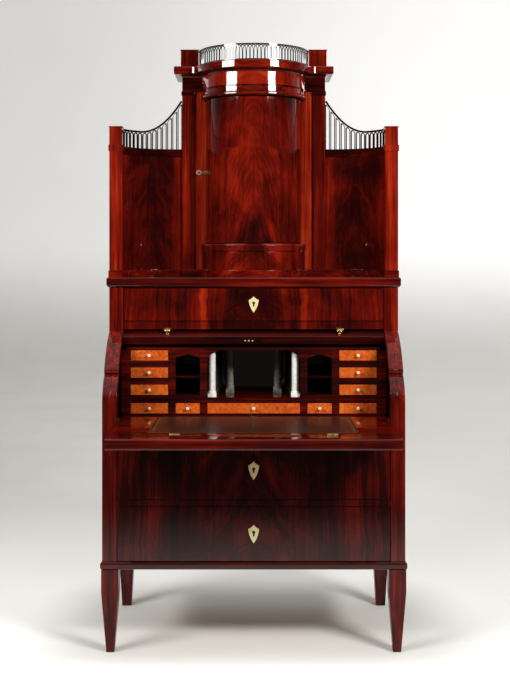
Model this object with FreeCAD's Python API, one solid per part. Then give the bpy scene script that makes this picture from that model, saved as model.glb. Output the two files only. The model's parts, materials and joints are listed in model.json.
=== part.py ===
import FreeCAD, Part
import math
import os

# Cylinder desk with a cabinet top. Sizes in millimetres, angles in degrees.
# x runs across the desk, s runs back from the front of the lower case and z runs up from the floor.
# The desk stands open: the cylinder is rolled up and the writing slab is drawn out.

# Fits
slide_gap = 0.3
side_gap = 1.5
front_gap = 0.8
overrun = 40

# Lower case
case_w = 1020
case_depth = 565
side_t = 26
stile_w = 49
stile_depth = 46
back_t = 12
leg_h = 282
leg_top = 58
leg_foot = 27
rear_leg_foot = 34
leg_straight = 78
leg_proud = 3
base_h = 27
base_proud = 6
base_strip = 56
base_round = 9
bottom_t = 14
lower_opening_h = 186
drawer_rail_h = 23
upper_opening_h = 194
slab_rail_h = 26
runner_w = 40
runner_h = 14
guide_h = 20

# Large drawers
drawer_front_t = 22
drawer_side_t = 12
drawer_back_t = 12
drawer_bottom_t = 8
drawer_bottom_rise = 5
drawer_side_drop = 18
drawer_behind = 22

# Writing slab and reading board
slab_lift = 2
slab_t = 35
slab_rear_gap = 30
slab_edge_round = 7
slab_lap = 25
slab_cleat = 95
slab_side_w = 99
slab_back_w = 40
board_t = 17
board_gap = 0.7
leather_t = 1
leather_margin = 22
hinge_inset = 110
hinge_length = 33
hinge_pin_r = 2.5
hinge_leaf_w = 11
hinge_leaf_t = 1.6
ring_r = 8
ring_gap = 0.5
ring_w = 2.6
ring_t = 2
ring_recess_depth = 4

# Scrolled cheek of the side panel
lobe_rise = 65
lobe_r = 92
nick_rise = 157
nick_depth = 62
nose_depth = 54
nose_rise = 173
nose_mid_depth = 55.5
nose_mid_rise = 163
scroll_mid_shares = (0.357, 0.517)
lip_in = 20

# Cylinder
axis_rise = 25
cyl_set = 20
cyl_rear_over = 19
cyl_t = 24
cyl_rail_proud = 6
cyl_rail_in = 2
cyl_top_gap = 9
roll_gap = 2
cyl_rail_round = 4
cyl_rail_w = 40.2
cyl_end_angle = 140
arm_angle = 101
arm_gap = 3
arm_side_gap = 4
arm_t = 8
arm_hub_r = 24
arm_tip_half = 38
arm_seat_w = 39
arm_seat_t = 8
arm_seat_sweep = 15
arm_seat_gap = 0.3
pin_r = 6
pin_gap = 0.3
bracket_r = 28
bracket_t = 3
pin_end_gap = 1
knob_x = 303
knob_edge = 20.1
knob_clear = 13.8
knob_stem_r = 4.5
knob_head_r = 13
knob_foot_r = 7
knob_foot_h = 3
knob_stem_h = 13
knob_h = 23
lock_plate_half = 26
lock_plate_h = 9
lock_plate_t = 1.5

# Interior of the desk
interior_set = 122
interior_behind = 123
interior_clear = 3.7
interior_board_t = 10
interior_base_t = 4.5
interior_lift = 1.5
interior_back_t = 8
bearer_inset = 46
bearer_w = 30
bearer_h = 60
face_t = 20
face_lap = 20
edge_post_w = 33
stack_w = 132
post_w = 26
pigeon_w = 86
tier_gap = 23.5
tier_foot_gap = 28
stack_tier_count = 4
shelf_t = 8
niche_floor_rise = 63
pigeon_shelf_share = 0.594
pigeon_shelf_t = 6
small_front_t = 10
small_side_t = 5
small_bottom_t = 3
small_behind = 8
small_knob_r = 6
small_knob_h = 14
small_knob_stem_r = 2.6
small_knob_stem_h = 5
small_knob_edge = 2.2
small_gap = 0.6
arch_spring_drop = 34
arch_shoulder_drop = 23
arch_peak_drop = 15
arch_shoulder_in = 16
arch_bow_share = 0.62
arch_corner_share = 0.3
fascia_t = 8
fascia_inset = 2
spandrel_w = 56
spandrel_h = 42
mirror_t = 4
mirror_set = 42
mirror_depth = 165
mirror_splay = 63
column_r = 12.2
plinth_half = 15
plinth_block_h = 12
column_base_h = 7
column_ring_w = 2.6
column_ring_edge = 2
column_cap_h = 10
front_column_inset = 16
front_column_set = 26
rear_column_inset = 14
rear_column_set = 144

# Upper case with the frieze drawer
frieze_set_share = 0.383
frieze_rail_rise = 8
frieze_rail_h = 37
frieze_rail_t = 20
dust_t = 14
frieze_opening_h = 118
deck_h = 37
deck_proud = 9
deck_strip = 60
deck_round_top = 7
deck_round_bottom = 14

# Cabinet top
plinth_h = 24
plinth_proud = 3
pillar_w = 45
wing_h = 416
wing_rail_h = 28
wing_t = 18
wing_rail_proud = 4
wing_deck_t = 14
wing_set = 10
wing_fit = 0.3
band_h = 22
band_proud = 3
block_h = 62
cap_h = 4
cap_proud = 2
cabinet_depth = 187
pilaster_reveal = 23
stile_set = 8
stile_t = 24
stile_reach = 7
round_set = 17
apron_over = 15
apron_t = 20
apron_h = 66
apron_rail_h = 29
apron_rail_over = 18
apron_rail_edge = 5
door_opening_h = 528
architrave_h = 34
architrave_over = 19
architrave_lip_h = 15
architrave_edge = 5
architrave_face_over = 13
neck_h = 15
frieze_h = 51
frieze_over = 10
frieze_t = 20
cavetto_h = 9
corona_h = 29
corona_proud = 29
cavetto_proud = 12
cavetto_step_count = 3
corona_bead = 3
cornice_hollow_r = 4
cornice_hollow_share = 0.8
corner_over = 5
corner_w = 66
corner_proud = 2
corner_h = 62
corner_cap_h = 3
corner_cap_proud = 2
cabinet_side_t = 18
floor_t = 14
shelf_rise = 262
cabinet_shelf_t = 16
shelf_clear = 10

# Cabinet door
door_r = 177
door_t = 18
door_gap = 3
door_edge_gap = 3
door_axis_in = 5.5
door_axis_back = 5
door_pin_r = 3
door_pin_gap = 0.3
door_pin_h = 12
pivot_plate_r = 7
pivot_plate_t = 1.5
key_angle = 12.2
key_rise = 261
key_shank_r = 2.2
key_hole_r = 3
key_depth = 12
key_reach = 22
key_bow_r = 9
key_bow_w = 4
key_bow_t = 3
ring_edge = 0.6
escutcheon_r = 7
escutcheon_t = 1.5
rose_gap = 0.1

# Shields round the keyholes of the large drawers
shield_w = 36
shield_h = 62
shield_t = 1.5
frieze_shield_w = 35
frieze_shield_h = 57
shield_ear_share = 0.22
shield_dip_shares = (0.44, 0.13)
shield_side_shares = (0.72, 0.62)
keyhole_r_share = 0.09
keyhole_slot_share = 0.22

# Galleries
gallery_t = 1.5
gallery_foot = 5
gallery_head = 4
lancet_share = 1.6
lancet_bulge_share = 0.62
gallery_seat_gap = 0.2
wing_gallery_inset = 7
wing_arch_count = 17
wing_post_w = 9
wing_slit_w = 3.6
wing_gallery_h = 51
wing_swoop_reach = 113
wing_swoop_h = 111
wing_section_count = 3
top_gallery_over = 23
top_gallery_h = 54
top_arch_count = 48
top_post_w = 3.2
top_section_count = 8
gallery_rail_w = 5
gallery_rail_h = 4
rail_step_count = 2
spot_step_count = 40

# Heights and places that follow from the sizes above
V = FreeCAD.Vector
up = V(0, 0, 1)
cyl_r = (case_depth - cyl_set + cyl_rear_over) / 2
axis_s = cyl_set + cyl_r
upper_front = axis_s - cyl_r * frieze_set_share
interior_front = axis_s - interior_set
interior_back = axis_s + interior_behind
slab_length = case_depth - slab_rear_gap
slab_out = slab_length - interior_front - slab_lap
front_y = (slab_out - case_depth) / 2
case_half = case_w / 2
opening_half = case_half - stile_w
inner_half = case_half - side_t
cyl_half = opening_half - roll_gap
board_half = cyl_half - slab_side_w
board_depth = slab_length - slab_cleat - slab_back_w
hinge_x = board_half - hinge_inset
cyl_inner_r = cyl_r - cyl_t
cyl_rail_r = cyl_r + cyl_rail_proud
cyl_rail_inner_r = cyl_inner_r - cyl_rail_in
arm_r = cyl_inner_r - arm_seat_t
arm_x = inner_half - bracket_t - arm_side_gap - arm_t
arm_seat_in = arm_x - arm_seat_w
face_half = arm_x - arm_gap
interior_half = face_half - face_lap
interior_reach = math.sqrt((arm_r - interior_clear) ** 2 - (axis_s - interior_front) ** 2)
interior_rise = axis_rise + interior_reach
ceiling_rise = interior_rise - interior_board_t
tier_room = ceiling_rise - interior_lift - interior_base_t
small_h = (tier_room - tier_foot_gap - tier_gap * (stack_tier_count - 2)) / stack_tier_count
tier_rise = interior_lift + interior_base_t + small_h + tier_foot_gap
tier_pitch = small_h + tier_gap
stack_out = face_half - edge_post_w
stack_in = stack_out - stack_w
pigeon_out = stack_in - post_w
pigeon_in = pigeon_out - pigeon_w
niche_half = pigeon_in - post_w
mirror_back_half = niche_half - mirror_splay
back_s = case_depth - back_t
z_case = leg_h + base_h
z_drawer_rail = z_case + lower_opening_h
z_upper = z_drawer_rail + drawer_rail_h
z_slab_rail = z_upper + upper_opening_h
z_slab_rail_top = z_slab_rail + slab_rail_h
z_slab = z_slab_rail_top + slab_lift
z_desk = z_slab + slab_t
axis_z = z_desk + axis_rise
z_frieze = axis_z + cyl_r + cyl_top_gap + dust_t
z_shoulder = z_frieze - frieze_rail_h
shoulder_angle = math.degrees(math.atan2(z_shoulder - axis_z, axis_s - upper_front))
knob_angle = shoulder_angle - math.degrees(knob_clear / cyl_rail_r)
cyl_rail_start = knob_angle - math.degrees(knob_edge / cyl_rail_r)
cyl_rail_sweep = math.degrees(cyl_rail_w / cyl_rail_r)
z_deck = z_frieze + frieze_opening_h
z_plinth = z_deck + deck_h
z_cabinet = z_plinth + plinth_h
z_wing_top = z_cabinet + wing_h + wing_rail_h
z_door = z_cabinet + apron_h + apron_rail_h
z_architrave = z_door + door_opening_h
z_frieze_band = z_architrave + architrave_h
z_cornice = z_frieze_band + frieze_h
z_corona = z_cornice + cavetto_h
z_roof = z_corona + corona_h
pillar_in = case_half - pillar_w
pillar_back = upper_front + pillar_w
pilaster_front = case_depth - cabinet_depth
pilaster_back = pilaster_front + pillar_w
stile_front = pilaster_front + stile_set
stile_in = door_r - door_t - stile_reach
round_s = pilaster_front + round_set
apron_r = door_r + apron_over
apron_rail_r = door_r + apron_rail_over
architrave_r = door_r + architrave_over
frieze_r = door_r + frieze_over
top_gallery_r = door_r + top_gallery_over
pilaster_in = architrave_r + pilaster_reveal
centre_half = pilaster_in + pillar_w
wing_meet = pilaster_front + wing_set
door_edge = stile_front - door_edge_gap
door_axis_x = door_r - door_axis_in
door_axis_s = door_edge - door_axis_back
corner_in = centre_half + corner_over - corner_w
corner_front = pilaster_front - corner_proud
wing_a = pillar_in - centre_half
wing_b = wing_meet - pillar_back


# Helpers

def place(x, s, z):
    return V(x, front_y + s, z)


def board(x0, x1, s0, s1, z0, z1):
    return Part.makeBox(x1 - x0, s1 - s0, z1 - z0, place(x0, s0, z0))


def mirrored(shape):
    return shape.mirror(V(0, 0, 0), V(1, 0, 0))


def pairs(*shapes):
    return [twin for shape in shapes for twin in (shape, mirrored(shape))]


def outline(spot, *steps):
    """Closed face: a step of one point is a line to it, a step of two points is an arc by the first."""
    paths = [[spot(*point) for point in step] for step in steps]
    here = paths[0][0]
    edges = []
    closing = [] if paths[-1][-1] == here else [[here]]
    for path in paths[1:] + closing:
        if len(path) == 1:
            edges.append(Part.makeLine(here, path[0]))
        else:
            edges.append(Part.Arc(here, path[0], path[1]).toShape())
        here = path[-1]
    return Part.Face(Part.Wire(edges))


def side_prism(x0, x1, *steps):
    """Outline of (s, z) points, extruded across the desk."""
    return outline(lambda s, z: place(x0, s, z), *steps).extrude(V(x1 - x0, 0, 0))


def plan_prism(z0, z1, *steps):
    """Outline of (x, s) points, extruded upwards."""
    return outline(lambda x, s: place(x, s, z0), *steps).extrude(V(0, 0, z1 - z0))


def front_prism(s0, s1, *steps):
    """Outline of (x, z) points, extruded to the back."""
    return outline(lambda x, z: place(x, s0, z), *steps).extrude(V(0, s1 - s0, 0))


def corners(*points):
    return [[point] for point in points]


def turned(spot, direction, *steps):
    """Revolved solid: steps are (radius, height) points along an axis that starts at spot."""
    face = outline(lambda r, h: V(r, 0, h), *steps)
    solid = face.revolve(V(0, 0, 0), up, 360)
    solid.rotate(V(0, 0, 0), *axis_turn(direction))
    solid.translate(spot)
    return solid


def axis_turn(direction):
    turn = FreeCAD.Rotation(up, direction)
    return turn.Axis, math.degrees(turn.Angle)


def across(radius, x0, x1, s, z):
    """Round bar along x."""
    return Part.makeCylinder(radius, x1 - x0, place(x0, s, z), V(1, 0, 0))


def upright(radius, x, s, z0, z1):
    return Part.makeCylinder(radius, z1 - z0, place(x, s, z0), up)


def arc_ring(r0, r1, angle, sweep, x0, x1):
    """Part of a ring round the cylinder's axis; angles rise from the front."""
    def spot(r, a):
        rad = math.radians(a)
        return (axis_s - r * math.cos(rad), axis_z + r * math.sin(rad))
    middle = angle + sweep / 2
    end = angle + sweep
    return side_prism(x0, x1, [spot(r1, angle)], [spot(r1, middle), spot(r1, end)], [spot(r0, end)],
                      [spot(r0, middle), spot(r0, angle)])


def half_disc(radius, z0, z1, s_edge):
    """Round front of the centre cabinet, from its foremost point back to s_edge."""
    half = math.sqrt(radius ** 2 - (round_s - s_edge) ** 2)
    return plan_prism(z0, z1, [(-half, s_edge)], [(0, round_s - radius), (half, s_edge)])


def half_ring(r0, r1, z0, z1, s_edge):
    return half_disc(r1, z0, z1, s_edge).cut(half_disc(r0, z0 - overrun, z1 + overrun, s_edge))


def flat_ring(centre, direction, radius, width, thick):
    """Flat ring with its edges taken off, centred in its thickness."""
    foot = centre - direction * (thick / 2)
    ring = Part.makeCylinder(radius, thick, foot, direction)
    ring = ring.makeChamfer(ring_edge, [e for e in ring.Edges if e.isClosed()])
    return ring.cut(Part.makeCylinder(radius - width, thick, foot, direction))


def flat_edges(shape, z):
    """Edges at height z, apart from those along the back of the desk."""
    back = front_y + case_depth
    found = []
    for edge in shape.Edges:
        box = edge.BoundBox
        if abs(box.ZMin - z) < slide_gap and abs(box.ZMax - z) < slide_gap and box.YMin < back - slide_gap:
            found.append(edge)
    return found


def mitred_moulding(half, s0, s1, strip, z0, z1, round_low, round_high):
    """Front strip and two side strips with rounded edges, mitred at the front corners."""
    block = board(-half, half, s0, s1, z0, z1)
    block = block.makeFillet(round_low, flat_edges(block, z0))
    block = block.makeFillet(round_high, flat_edges(block, z1))
    block = block.cut(board(strip - half, half - strip, s0 + strip, s1 + overrun, z0 - overrun, z1 + overrun))
    front = plan_prism(z0 - overrun, z1 + overrun, *corners(
        (-half - overrun, s0 - overrun), (half + overrun, s0 - overrun),
        (half - strip, s0 + strip), (strip - half, s0 + strip)))
    return block.common(front).Solids + block.cut(front).Solids


def save(name, *solids):
    os.makedirs("parts", exist_ok=True)
    Part.makeCompound(list(solids)).exportStep("parts/" + name + ".step")


# Lower case

def legs():
    half = leg_top / 2
    x = case_half + leg_proud - half
    knee = leg_h - leg_straight
    solids = []
    for s, foot in ((half - leg_proud, leg_foot / 2), (case_depth - half, rear_leg_foot / 2)):
        taper = Part.makeWedge(-foot, 0, -foot, -half, -half, foot, knee, foot, half, half)
        taper.rotate(V(0, 0, 0), V(1, 0, 0), 90)
        taper.translate(place(x, s, 0))
        block = board(x - half, x + half, s - half, s + half, knee, leg_h)
        solids.append(block.fuse(taper).removeSplitter())
    save("legs", *pairs(*solids))


def base():
    half = case_half + base_proud
    strips = mitred_moulding(half, -base_proud, case_depth, base_strip, leg_h, z_case, base_round, base_round)
    inner = half - base_strip
    back_rail = board(-inner, inner, case_depth - base_strip, case_depth, leg_h, z_case)
    save("base_moulding", *strips, back_rail)
    save("bottom_board", board(-inner, inner, base_strip - base_proud, case_depth - base_strip,
                               z_case - bottom_t, z_case))


def cheek_front():
    """Steps of the scrolled front edge, from the foot of the case up to the upper case, as (s, z) points."""
    z_lobe = z_desk + lobe_rise
    z_nick = z_desk + nick_rise
    lobe_mid = math.asin((z_nick - z_lobe) / lobe_r) / 2
    z_nose = z_desk + nose_rise
    scroll_s = nose_depth + (upper_front - nose_depth) * scroll_mid_shares[0]
    scroll_z = z_nose + (z_shoulder - z_nose) * scroll_mid_shares[1]
    return [
        [(0, z_case)],
        [(0, z_lobe)],
        [(lobe_r - lobe_r * math.cos(lobe_mid), z_lobe + lobe_r * math.sin(lobe_mid)), (nick_depth, z_nick)],
        [(nose_mid_depth, z_desk + nose_mid_rise), (nose_depth, z_nose)],
        [(scroll_s, scroll_z), (upper_front, z_shoulder)],
        [(upper_front, z_deck)],
    ]


def sides():
    panel = side_prism(inner_half, case_half, *cheek_front(), [(case_depth, z_deck)], [(case_depth, z_case)])
    save("side_panels", *pairs(panel))
    upper_back = upper_front + stile_depth
    lip = side_prism(opening_half, inner_half, *cheek_front(), [(upper_back, z_deck)], [(upper_back, z_case)])
    room = across(cyl_r - lip_in, opening_half, inner_half, axis_s, axis_z)
    room = room.fuse(board(opening_half, inner_half, stile_depth, upper_back, z_case, axis_z))
    save("front_stiles", *pairs(lip.cut(room).removeSplitter()))
    save("lower_back", board(-inner_half, inner_half, back_s, case_depth, z_case, z_deck))


def rails():
    save("front_rails",
         board(-opening_half, opening_half, 0, stile_depth, z_drawer_rail, z_upper),
         board(-opening_half, opening_half, 0, stile_depth, z_slab_rail, z_slab_rail_top))
    strips = []
    for top in (z_upper, z_slab):
        strips.append(board(inner_half - runner_w, inner_half, stile_depth, back_s, top - runner_h, top))
    for foot in (z_case, z_upper, z_slab):
        strips.append(board(opening_half, inner_half, stile_depth, back_s, foot, foot + guide_h))
    save("drawer_runners", *pairs(*strips))


# Large drawers

def drawer_box(front, opening_h, foot, depth_end):
    """Front, two sides, back and bottom of a large drawer that fills the opening above foot."""
    half = opening_half - side_gap
    z0 = foot + slide_gap
    side_top = foot + opening_h - drawer_side_drop
    end = depth_end - drawer_behind
    inner = half - drawer_side_t
    face = board(-half, half, front, front + drawer_front_t, foot + front_gap, foot + opening_h - front_gap)
    side = board(inner, half, front + drawer_front_t, end, z0, side_top)
    sole = z0 + drawer_bottom_rise
    back = board(-inner, inner, end - drawer_back_t, end, sole + drawer_bottom_t, side_top)
    floor = board(-inner, inner, front + drawer_front_t, end, sole, sole + drawer_bottom_t)
    return [face, *pairs(side), back, floor]


def shield(front, width, height, z):
    """Shield-shaped plate with a keyhole, on the drawer front."""
    half = width / 2
    top = z + height / 2
    low = z - height / 2
    ear = top - height * shield_ear_share
    dip_x, dip_z = half * shield_dip_shares[0], top - height * shield_dip_shares[1]
    side_x, side_z = half * shield_side_shares[0], top - height * shield_side_shares[1]
    plate = front_prism(
        front - shield_t, front,
        [(0, low)], [(side_x, side_z), (half, ear)], [(dip_x, dip_z), (0, top)],
        [(-dip_x, dip_z), (-half, ear)], [(-side_x, side_z), (0, low)])
    hole_r = height * keyhole_r_share
    slot = height * keyhole_slot_share
    hole = Part.makeCylinder(hole_r, overrun, place(0, front - overrun / 2, z + hole_r), V(0, 1, 0))
    cut = board(-hole_r / 2, hole_r / 2, front - overrun / 2, front + overrun / 2,
                z + hole_r - slot, z + hole_r)
    return plate.cut(hole.fuse(cut))


def large_drawers():
    for name, front, opening_h, foot, width, height in (
            ("lower_drawer", 0, lower_opening_h, z_case, shield_w, shield_h),
            ("upper_drawer", 0, upper_opening_h, z_upper, shield_w, shield_h),
            ("frieze_drawer", upper_front, frieze_opening_h, z_frieze, frieze_shield_w, frieze_shield_h)):
        save(name, *drawer_box(front, opening_h, foot, back_s))
        save(name + "_escutcheon", shield(front, width, height, foot + opening_h / 2))


# Writing slab and reading board

def slab():
    front = -slab_out
    rear = front + slab_length
    board_front = front + slab_cleat
    board_rear = board_front + board_depth
    half = cyl_half
    well = z_desk - board_t - board_gap
    cleat = board(-half, half, front, board_front, z_slab, z_desk)
    fore = front_y + front + slide_gap
    lips = [e for e in cleat.Edges if e.BoundBox.YMax < fore and e.BoundBox.ZLength < slide_gap]
    cleat = cleat.makeFillet(slab_edge_round, lips)
    room = hinge_pin_r + slide_gap
    for x in (-hinge_x, hinge_x):
        x0 = x - hinge_length / 2
        x1 = x + hinge_length / 2
        notch = board(x0, x1, board_front - hinge_leaf_w, board_front + room,
                      z_desk - hinge_leaf_t, z_desk + overrun)
        knuckle = across(room, x0, x1, board_front, z_desk)
        cleat = cleat.cut(notch.fuse(knuckle))
    side = board(board_half, half, board_front, rear, z_slab, z_desk)
    back = board(-board_half, board_half, board_rear, rear, z_slab, z_desk)
    floor = board(-board_half, board_half, board_front, board_rear, z_slab, well)
    save("writing_slab", cleat, *pairs(side), back, floor)

    flap_half = board_half - board_gap
    flap_front = board_front + board_gap
    flap_rear = board_rear - board_gap
    leather_half = flap_half - leather_margin
    leather = board(-leather_half, leather_half, flap_front + leather_margin, flap_rear - leather_margin,
                    z_desk - leather_t, z_desk)
    flap = board(-flap_half, flap_half, flap_front, flap_rear, z_desk - board_t, z_desk).cut(leather)
    ring_s = flap_rear - leather_margin / 2
    flap = flap.cut(upright(ring_r + ring_gap, 0, ring_s, z_desk - ring_recess_depth, z_desk + overrun))
    moving = []
    fixed = []
    for x in (-hinge_x, hinge_x):
        x0 = x - hinge_length / 2
        x1 = x + hinge_length / 2
        leaf_z = z_desk - hinge_leaf_t
        leaf_end = board_front + hinge_leaf_w
        flap = flap.cut(board(x0, x1, board_front, leaf_end, leaf_z, z_desk + overrun))
        flap = flap.cut(across(room, x0, x1, board_front, z_desk))
        leaf = board(x0, x1, board_front - hinge_leaf_w, board_front, leaf_z, z_desk)
        fixed.append(leaf.fuse(across(hinge_pin_r, x0, x1, board_front, z_desk)).removeSplitter())
        moving.append(board(x0, x1, board_front + room, leaf_end, leaf_z, z_desk))
    ring_z = z_desk - ring_recess_depth + ring_t / 2
    ring = flat_ring(place(0, ring_s, ring_z), up, ring_r, ring_w, ring_t)
    save("reading_board", flap, *moving, ring)
    save("reading_leather", leather)
    save("board_hinges", *fixed)


# Cylinder

def ray(radius, angle):
    """Point (s, z) at a radius and an angle round the cylinder's axis."""
    turn = math.radians(angle)
    return (axis_s - radius * math.cos(turn), axis_z + radius * math.sin(turn))


def cylinder():
    shell_start = cyl_rail_start + cyl_rail_sweep
    shell = arc_ring(cyl_inner_r, cyl_r, shell_start, cyl_end_angle - shell_start, -cyl_half, cyl_half)
    save("cylinder_shell", shell)
    rail = arc_ring(cyl_rail_inner_r, cyl_rail_r, cyl_rail_start, cyl_rail_sweep, -cyl_half, cyl_half)
    long_edges = [e for e in rail.Edges if e.BoundBox.XLength > cyl_half]
    nose = min(long_edges, key=lambda e: e.BoundBox.YMin)
    rail = rail.makeFillet(cyl_rail_round, [nose])
    save("cylinder_rail", rail)

    tip = math.degrees(arm_tip_half / arm_r)
    blade = side_prism(arm_x, arm_x + arm_t, [ray(arm_hub_r, arm_angle - 90)],
                       [ray(arm_hub_r, arm_angle - 180), ray(arm_hub_r, arm_angle + 90)],
                       [ray(arm_r, arm_angle + tip)], [ray(arm_r, arm_angle), ray(arm_r, arm_angle - tip)])
    seat = arc_ring(arm_r, cyl_inner_r - arm_seat_gap, arm_angle - arm_seat_sweep / 2, arm_seat_sweep,
                    arm_seat_in, arm_x + arm_t)
    hole = across(pin_r + pin_gap, arm_x - overrun, arm_x + arm_t + overrun, axis_s, axis_z)
    save("cylinder_arms", *pairs(blade.fuse(seat).removeSplitter().cut(hole)))

    plate_x = inner_half - bracket_t
    pin = across(pin_r, arm_x - pin_end_gap, plate_x, axis_s, axis_z)
    plate = across(bracket_r, plate_x, inner_half, axis_s, axis_z)
    save("pivot_brackets", *pairs(pin.fuse(plate).removeSplitter()))

    out = ray(cyl_rail_r, knob_angle)
    aim = ray(cyl_rail_r + knob_h, knob_angle)
    direction = V(0, aim[0] - out[0], aim[1] - out[1])
    head_z = (knob_stem_h + knob_h) / 2
    dome_r = (knob_head_r ** 2 + (knob_h - head_z) ** 2) / (2 * (knob_h - head_z))
    dome_turn = math.asin(knob_head_r / dome_r) / 2
    dome_mid = (dome_r * math.sin(dome_turn), knob_h - dome_r + dome_r * math.cos(dome_turn))
    knob = turned(place(knob_x, *out), direction, [(0, 0)], [(knob_foot_r, 0)], [(knob_foot_r, knob_foot_h)],
                  [(knob_stem_r, knob_foot_h)], [(knob_stem_r, knob_stem_h)], [(knob_head_r, knob_stem_h)],
                  [(knob_head_r, head_z)], [dome_mid, (0, knob_h)])
    edge_mid = (cyl_rail_r + cyl_rail_inner_r) / 2
    corner = ray(edge_mid - lock_plate_h / 2, cyl_rail_start)
    along = ray(edge_mid + lock_plate_h / 2, cyl_rail_start)
    below = ray(edge_mid, cyl_rail_start)
    lead = ray(edge_mid, cyl_rail_start - math.degrees(lock_plate_t / edge_mid))
    drop = (lead[0] - below[0], lead[1] - below[1])
    lock = side_prism(-lock_plate_half, lock_plate_half, *corners(
        corner, along, (along[0] + drop[0], along[1] + drop[1]), (corner[0] + drop[0], corner[1] + drop[1])))
    save("cylinder_knobs", *pairs(knob), lock)


# Interior of the desk

def tier_foot(tier):
    return z_desk + (interior_lift + interior_base_t if tier == 0 else tier_rise + (tier - 1) * tier_pitch)


def interior():
    z0 = z_desk + interior_lift
    z1 = z_desk + interior_rise
    floor = z0 + interior_base_t
    face_back = interior_front + face_t
    back_front = interior_back - interior_back_t
    in_half = interior_half - interior_board_t
    ceiling = z_desk + ceiling_rise
    bearer_x = interior_half - bearer_inset
    case = [
        board(-interior_half, interior_half, interior_front, interior_back, ceiling, z1),
        board(-interior_half, interior_half, interior_front, interior_back, z0, floor),
        board(-in_half, in_half, back_front, interior_back, floor, ceiling),
        *pairs(board(in_half, interior_half, face_back, interior_back, floor, ceiling)),
        *pairs(board(bearer_x - bearer_w, bearer_x, interior_back, back_s, z0, z0 + bearer_h)),
    ]
    save("interior_case", *case)

    shelf_z = tier_foot(1)
    low_mid = (niche_half + pigeon_in) / 2
    high_mid = (pigeon_out + stack_in) / 2
    half_t = shelf_t / 2
    niche_floor = z_desk + niche_floor_rise
    dividers = [board(mid - half_t, mid + half_t, face_back, back_front, floor, ceiling)
                for mid in (low_mid, high_mid)]
    shelves = [board(high_mid + half_t, in_half, face_back, back_front, tier_foot(t) - shelf_t, tier_foot(t))
               for t in range(1, stack_tier_count)]
    pigeon_z = z_desk + ceiling_rise * pigeon_shelf_share
    for top, thick in ((shelf_z, shelf_t), (pigeon_z, pigeon_shelf_t)):
        shelves.append(board(low_mid + half_t, high_mid - half_t, face_back, back_front, top - thick, top))
    centre = board(half_t - low_mid, low_mid - half_t, face_back, back_front,
                   niche_floor - shelf_t, niche_floor)
    save("interior_partitions", *pairs(*dividers, *shelves), centre)

    posts = [board(stack_out, face_half, interior_front, face_back, floor, ceiling),
             board(pigeon_out, stack_in, interior_front, face_back, floor, ceiling),
             board(niche_half, pigeon_in, interior_front, face_back, floor, ceiling)]
    bars = [board(stack_in, stack_out, interior_front, face_back, tier_foot(t - 1) + small_h, tier_foot(t))
            for t in range(1, stack_tier_count)]
    bars.append(board(pigeon_in, pigeon_out, interior_front, face_back, tier_foot(0) + small_h, shelf_z))
    middle = board(-niche_half, niche_half, interior_front, face_back, tier_foot(0) + small_h, niche_floor)

    f0 = interior_front + fascia_inset
    f1 = f0 + fascia_t
    mid = (pigeon_in + pigeon_out) / 2
    spring = ceiling - arch_spring_drop
    shoulder = ceiling - arch_shoulder_drop
    peak = ceiling - arch_peak_drop
    quarter = (mid - pigeon_in - arch_shoulder_in) / 2
    bow = (peak - shoulder) * arch_bow_share
    corner_x = arch_shoulder_in * arch_corner_share
    corner_z = (shoulder - spring) * (1 - arch_corner_share)
    arch = front_prism(
        f0, f1, [(pigeon_in, ceiling)], [(pigeon_in, spring)],
        [(pigeon_in + corner_x, spring + corner_z), (pigeon_in + arch_shoulder_in, shoulder)],
        [(mid - quarter, shoulder + bow), (mid, peak)],
        [(mid + quarter, shoulder + bow), (pigeon_out - arch_shoulder_in, shoulder)],
        [(pigeon_out - corner_x, spring + corner_z), (pigeon_out, spring)], [(pigeon_out, ceiling)])
    curve_x = niche_half - spandrel_w
    curve_z = ceiling - spandrel_h
    spandrel = board(curve_x, niche_half, f0, f1, curve_z, ceiling)
    spandrel = spandrel.cut(ellipse_prism(curve_x, curve_z, spandrel_w, spandrel_h, f0, f1))
    save("interior_face", *pairs(*posts, *bars, arch, spandrel), middle)

    mirror_front = interior_front + mirror_set
    mirror_back = interior_front + mirror_depth
    side_glass = plan_prism(niche_floor, ceiling, *corners(
        (niche_half, mirror_front), (mirror_back_half, mirror_back),
        (mirror_back_half + mirror_t, mirror_back), (niche_half + mirror_t, mirror_front)))
    glass_half = mirror_back_half + mirror_t
    back_glass = board(-glass_half, glass_half, mirror_back, mirror_back + mirror_t, niche_floor, ceiling)
    save("niche_mirrors", *pairs(side_glass), back_glass)
    front_x, front_s = niche_half - front_column_inset, interior_front + front_column_set
    rear_x, rear_s = mirror_back_half - rear_column_inset, interior_front + rear_column_set
    save("niche_columns", *pairs(column(front_x, front_s, niche_floor, ceiling),
                                 column(rear_x, rear_s, niche_floor, ceiling)))


def ellipse_prism(x, z, half_w, half_h, s0, s1):
    """Elliptical prism that runs past s0 and s1."""
    unit = Part.makeCylinder(1, 1, V(0, 0, 0), V(0, 1, 0))
    size = FreeCAD.Matrix()
    size.scale(half_w, s1 - s0 + 2 * overrun, half_h)
    solid = unit.transformGeometry(size)
    solid.translate(place(x, s0 - overrun, z))
    return solid


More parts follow.
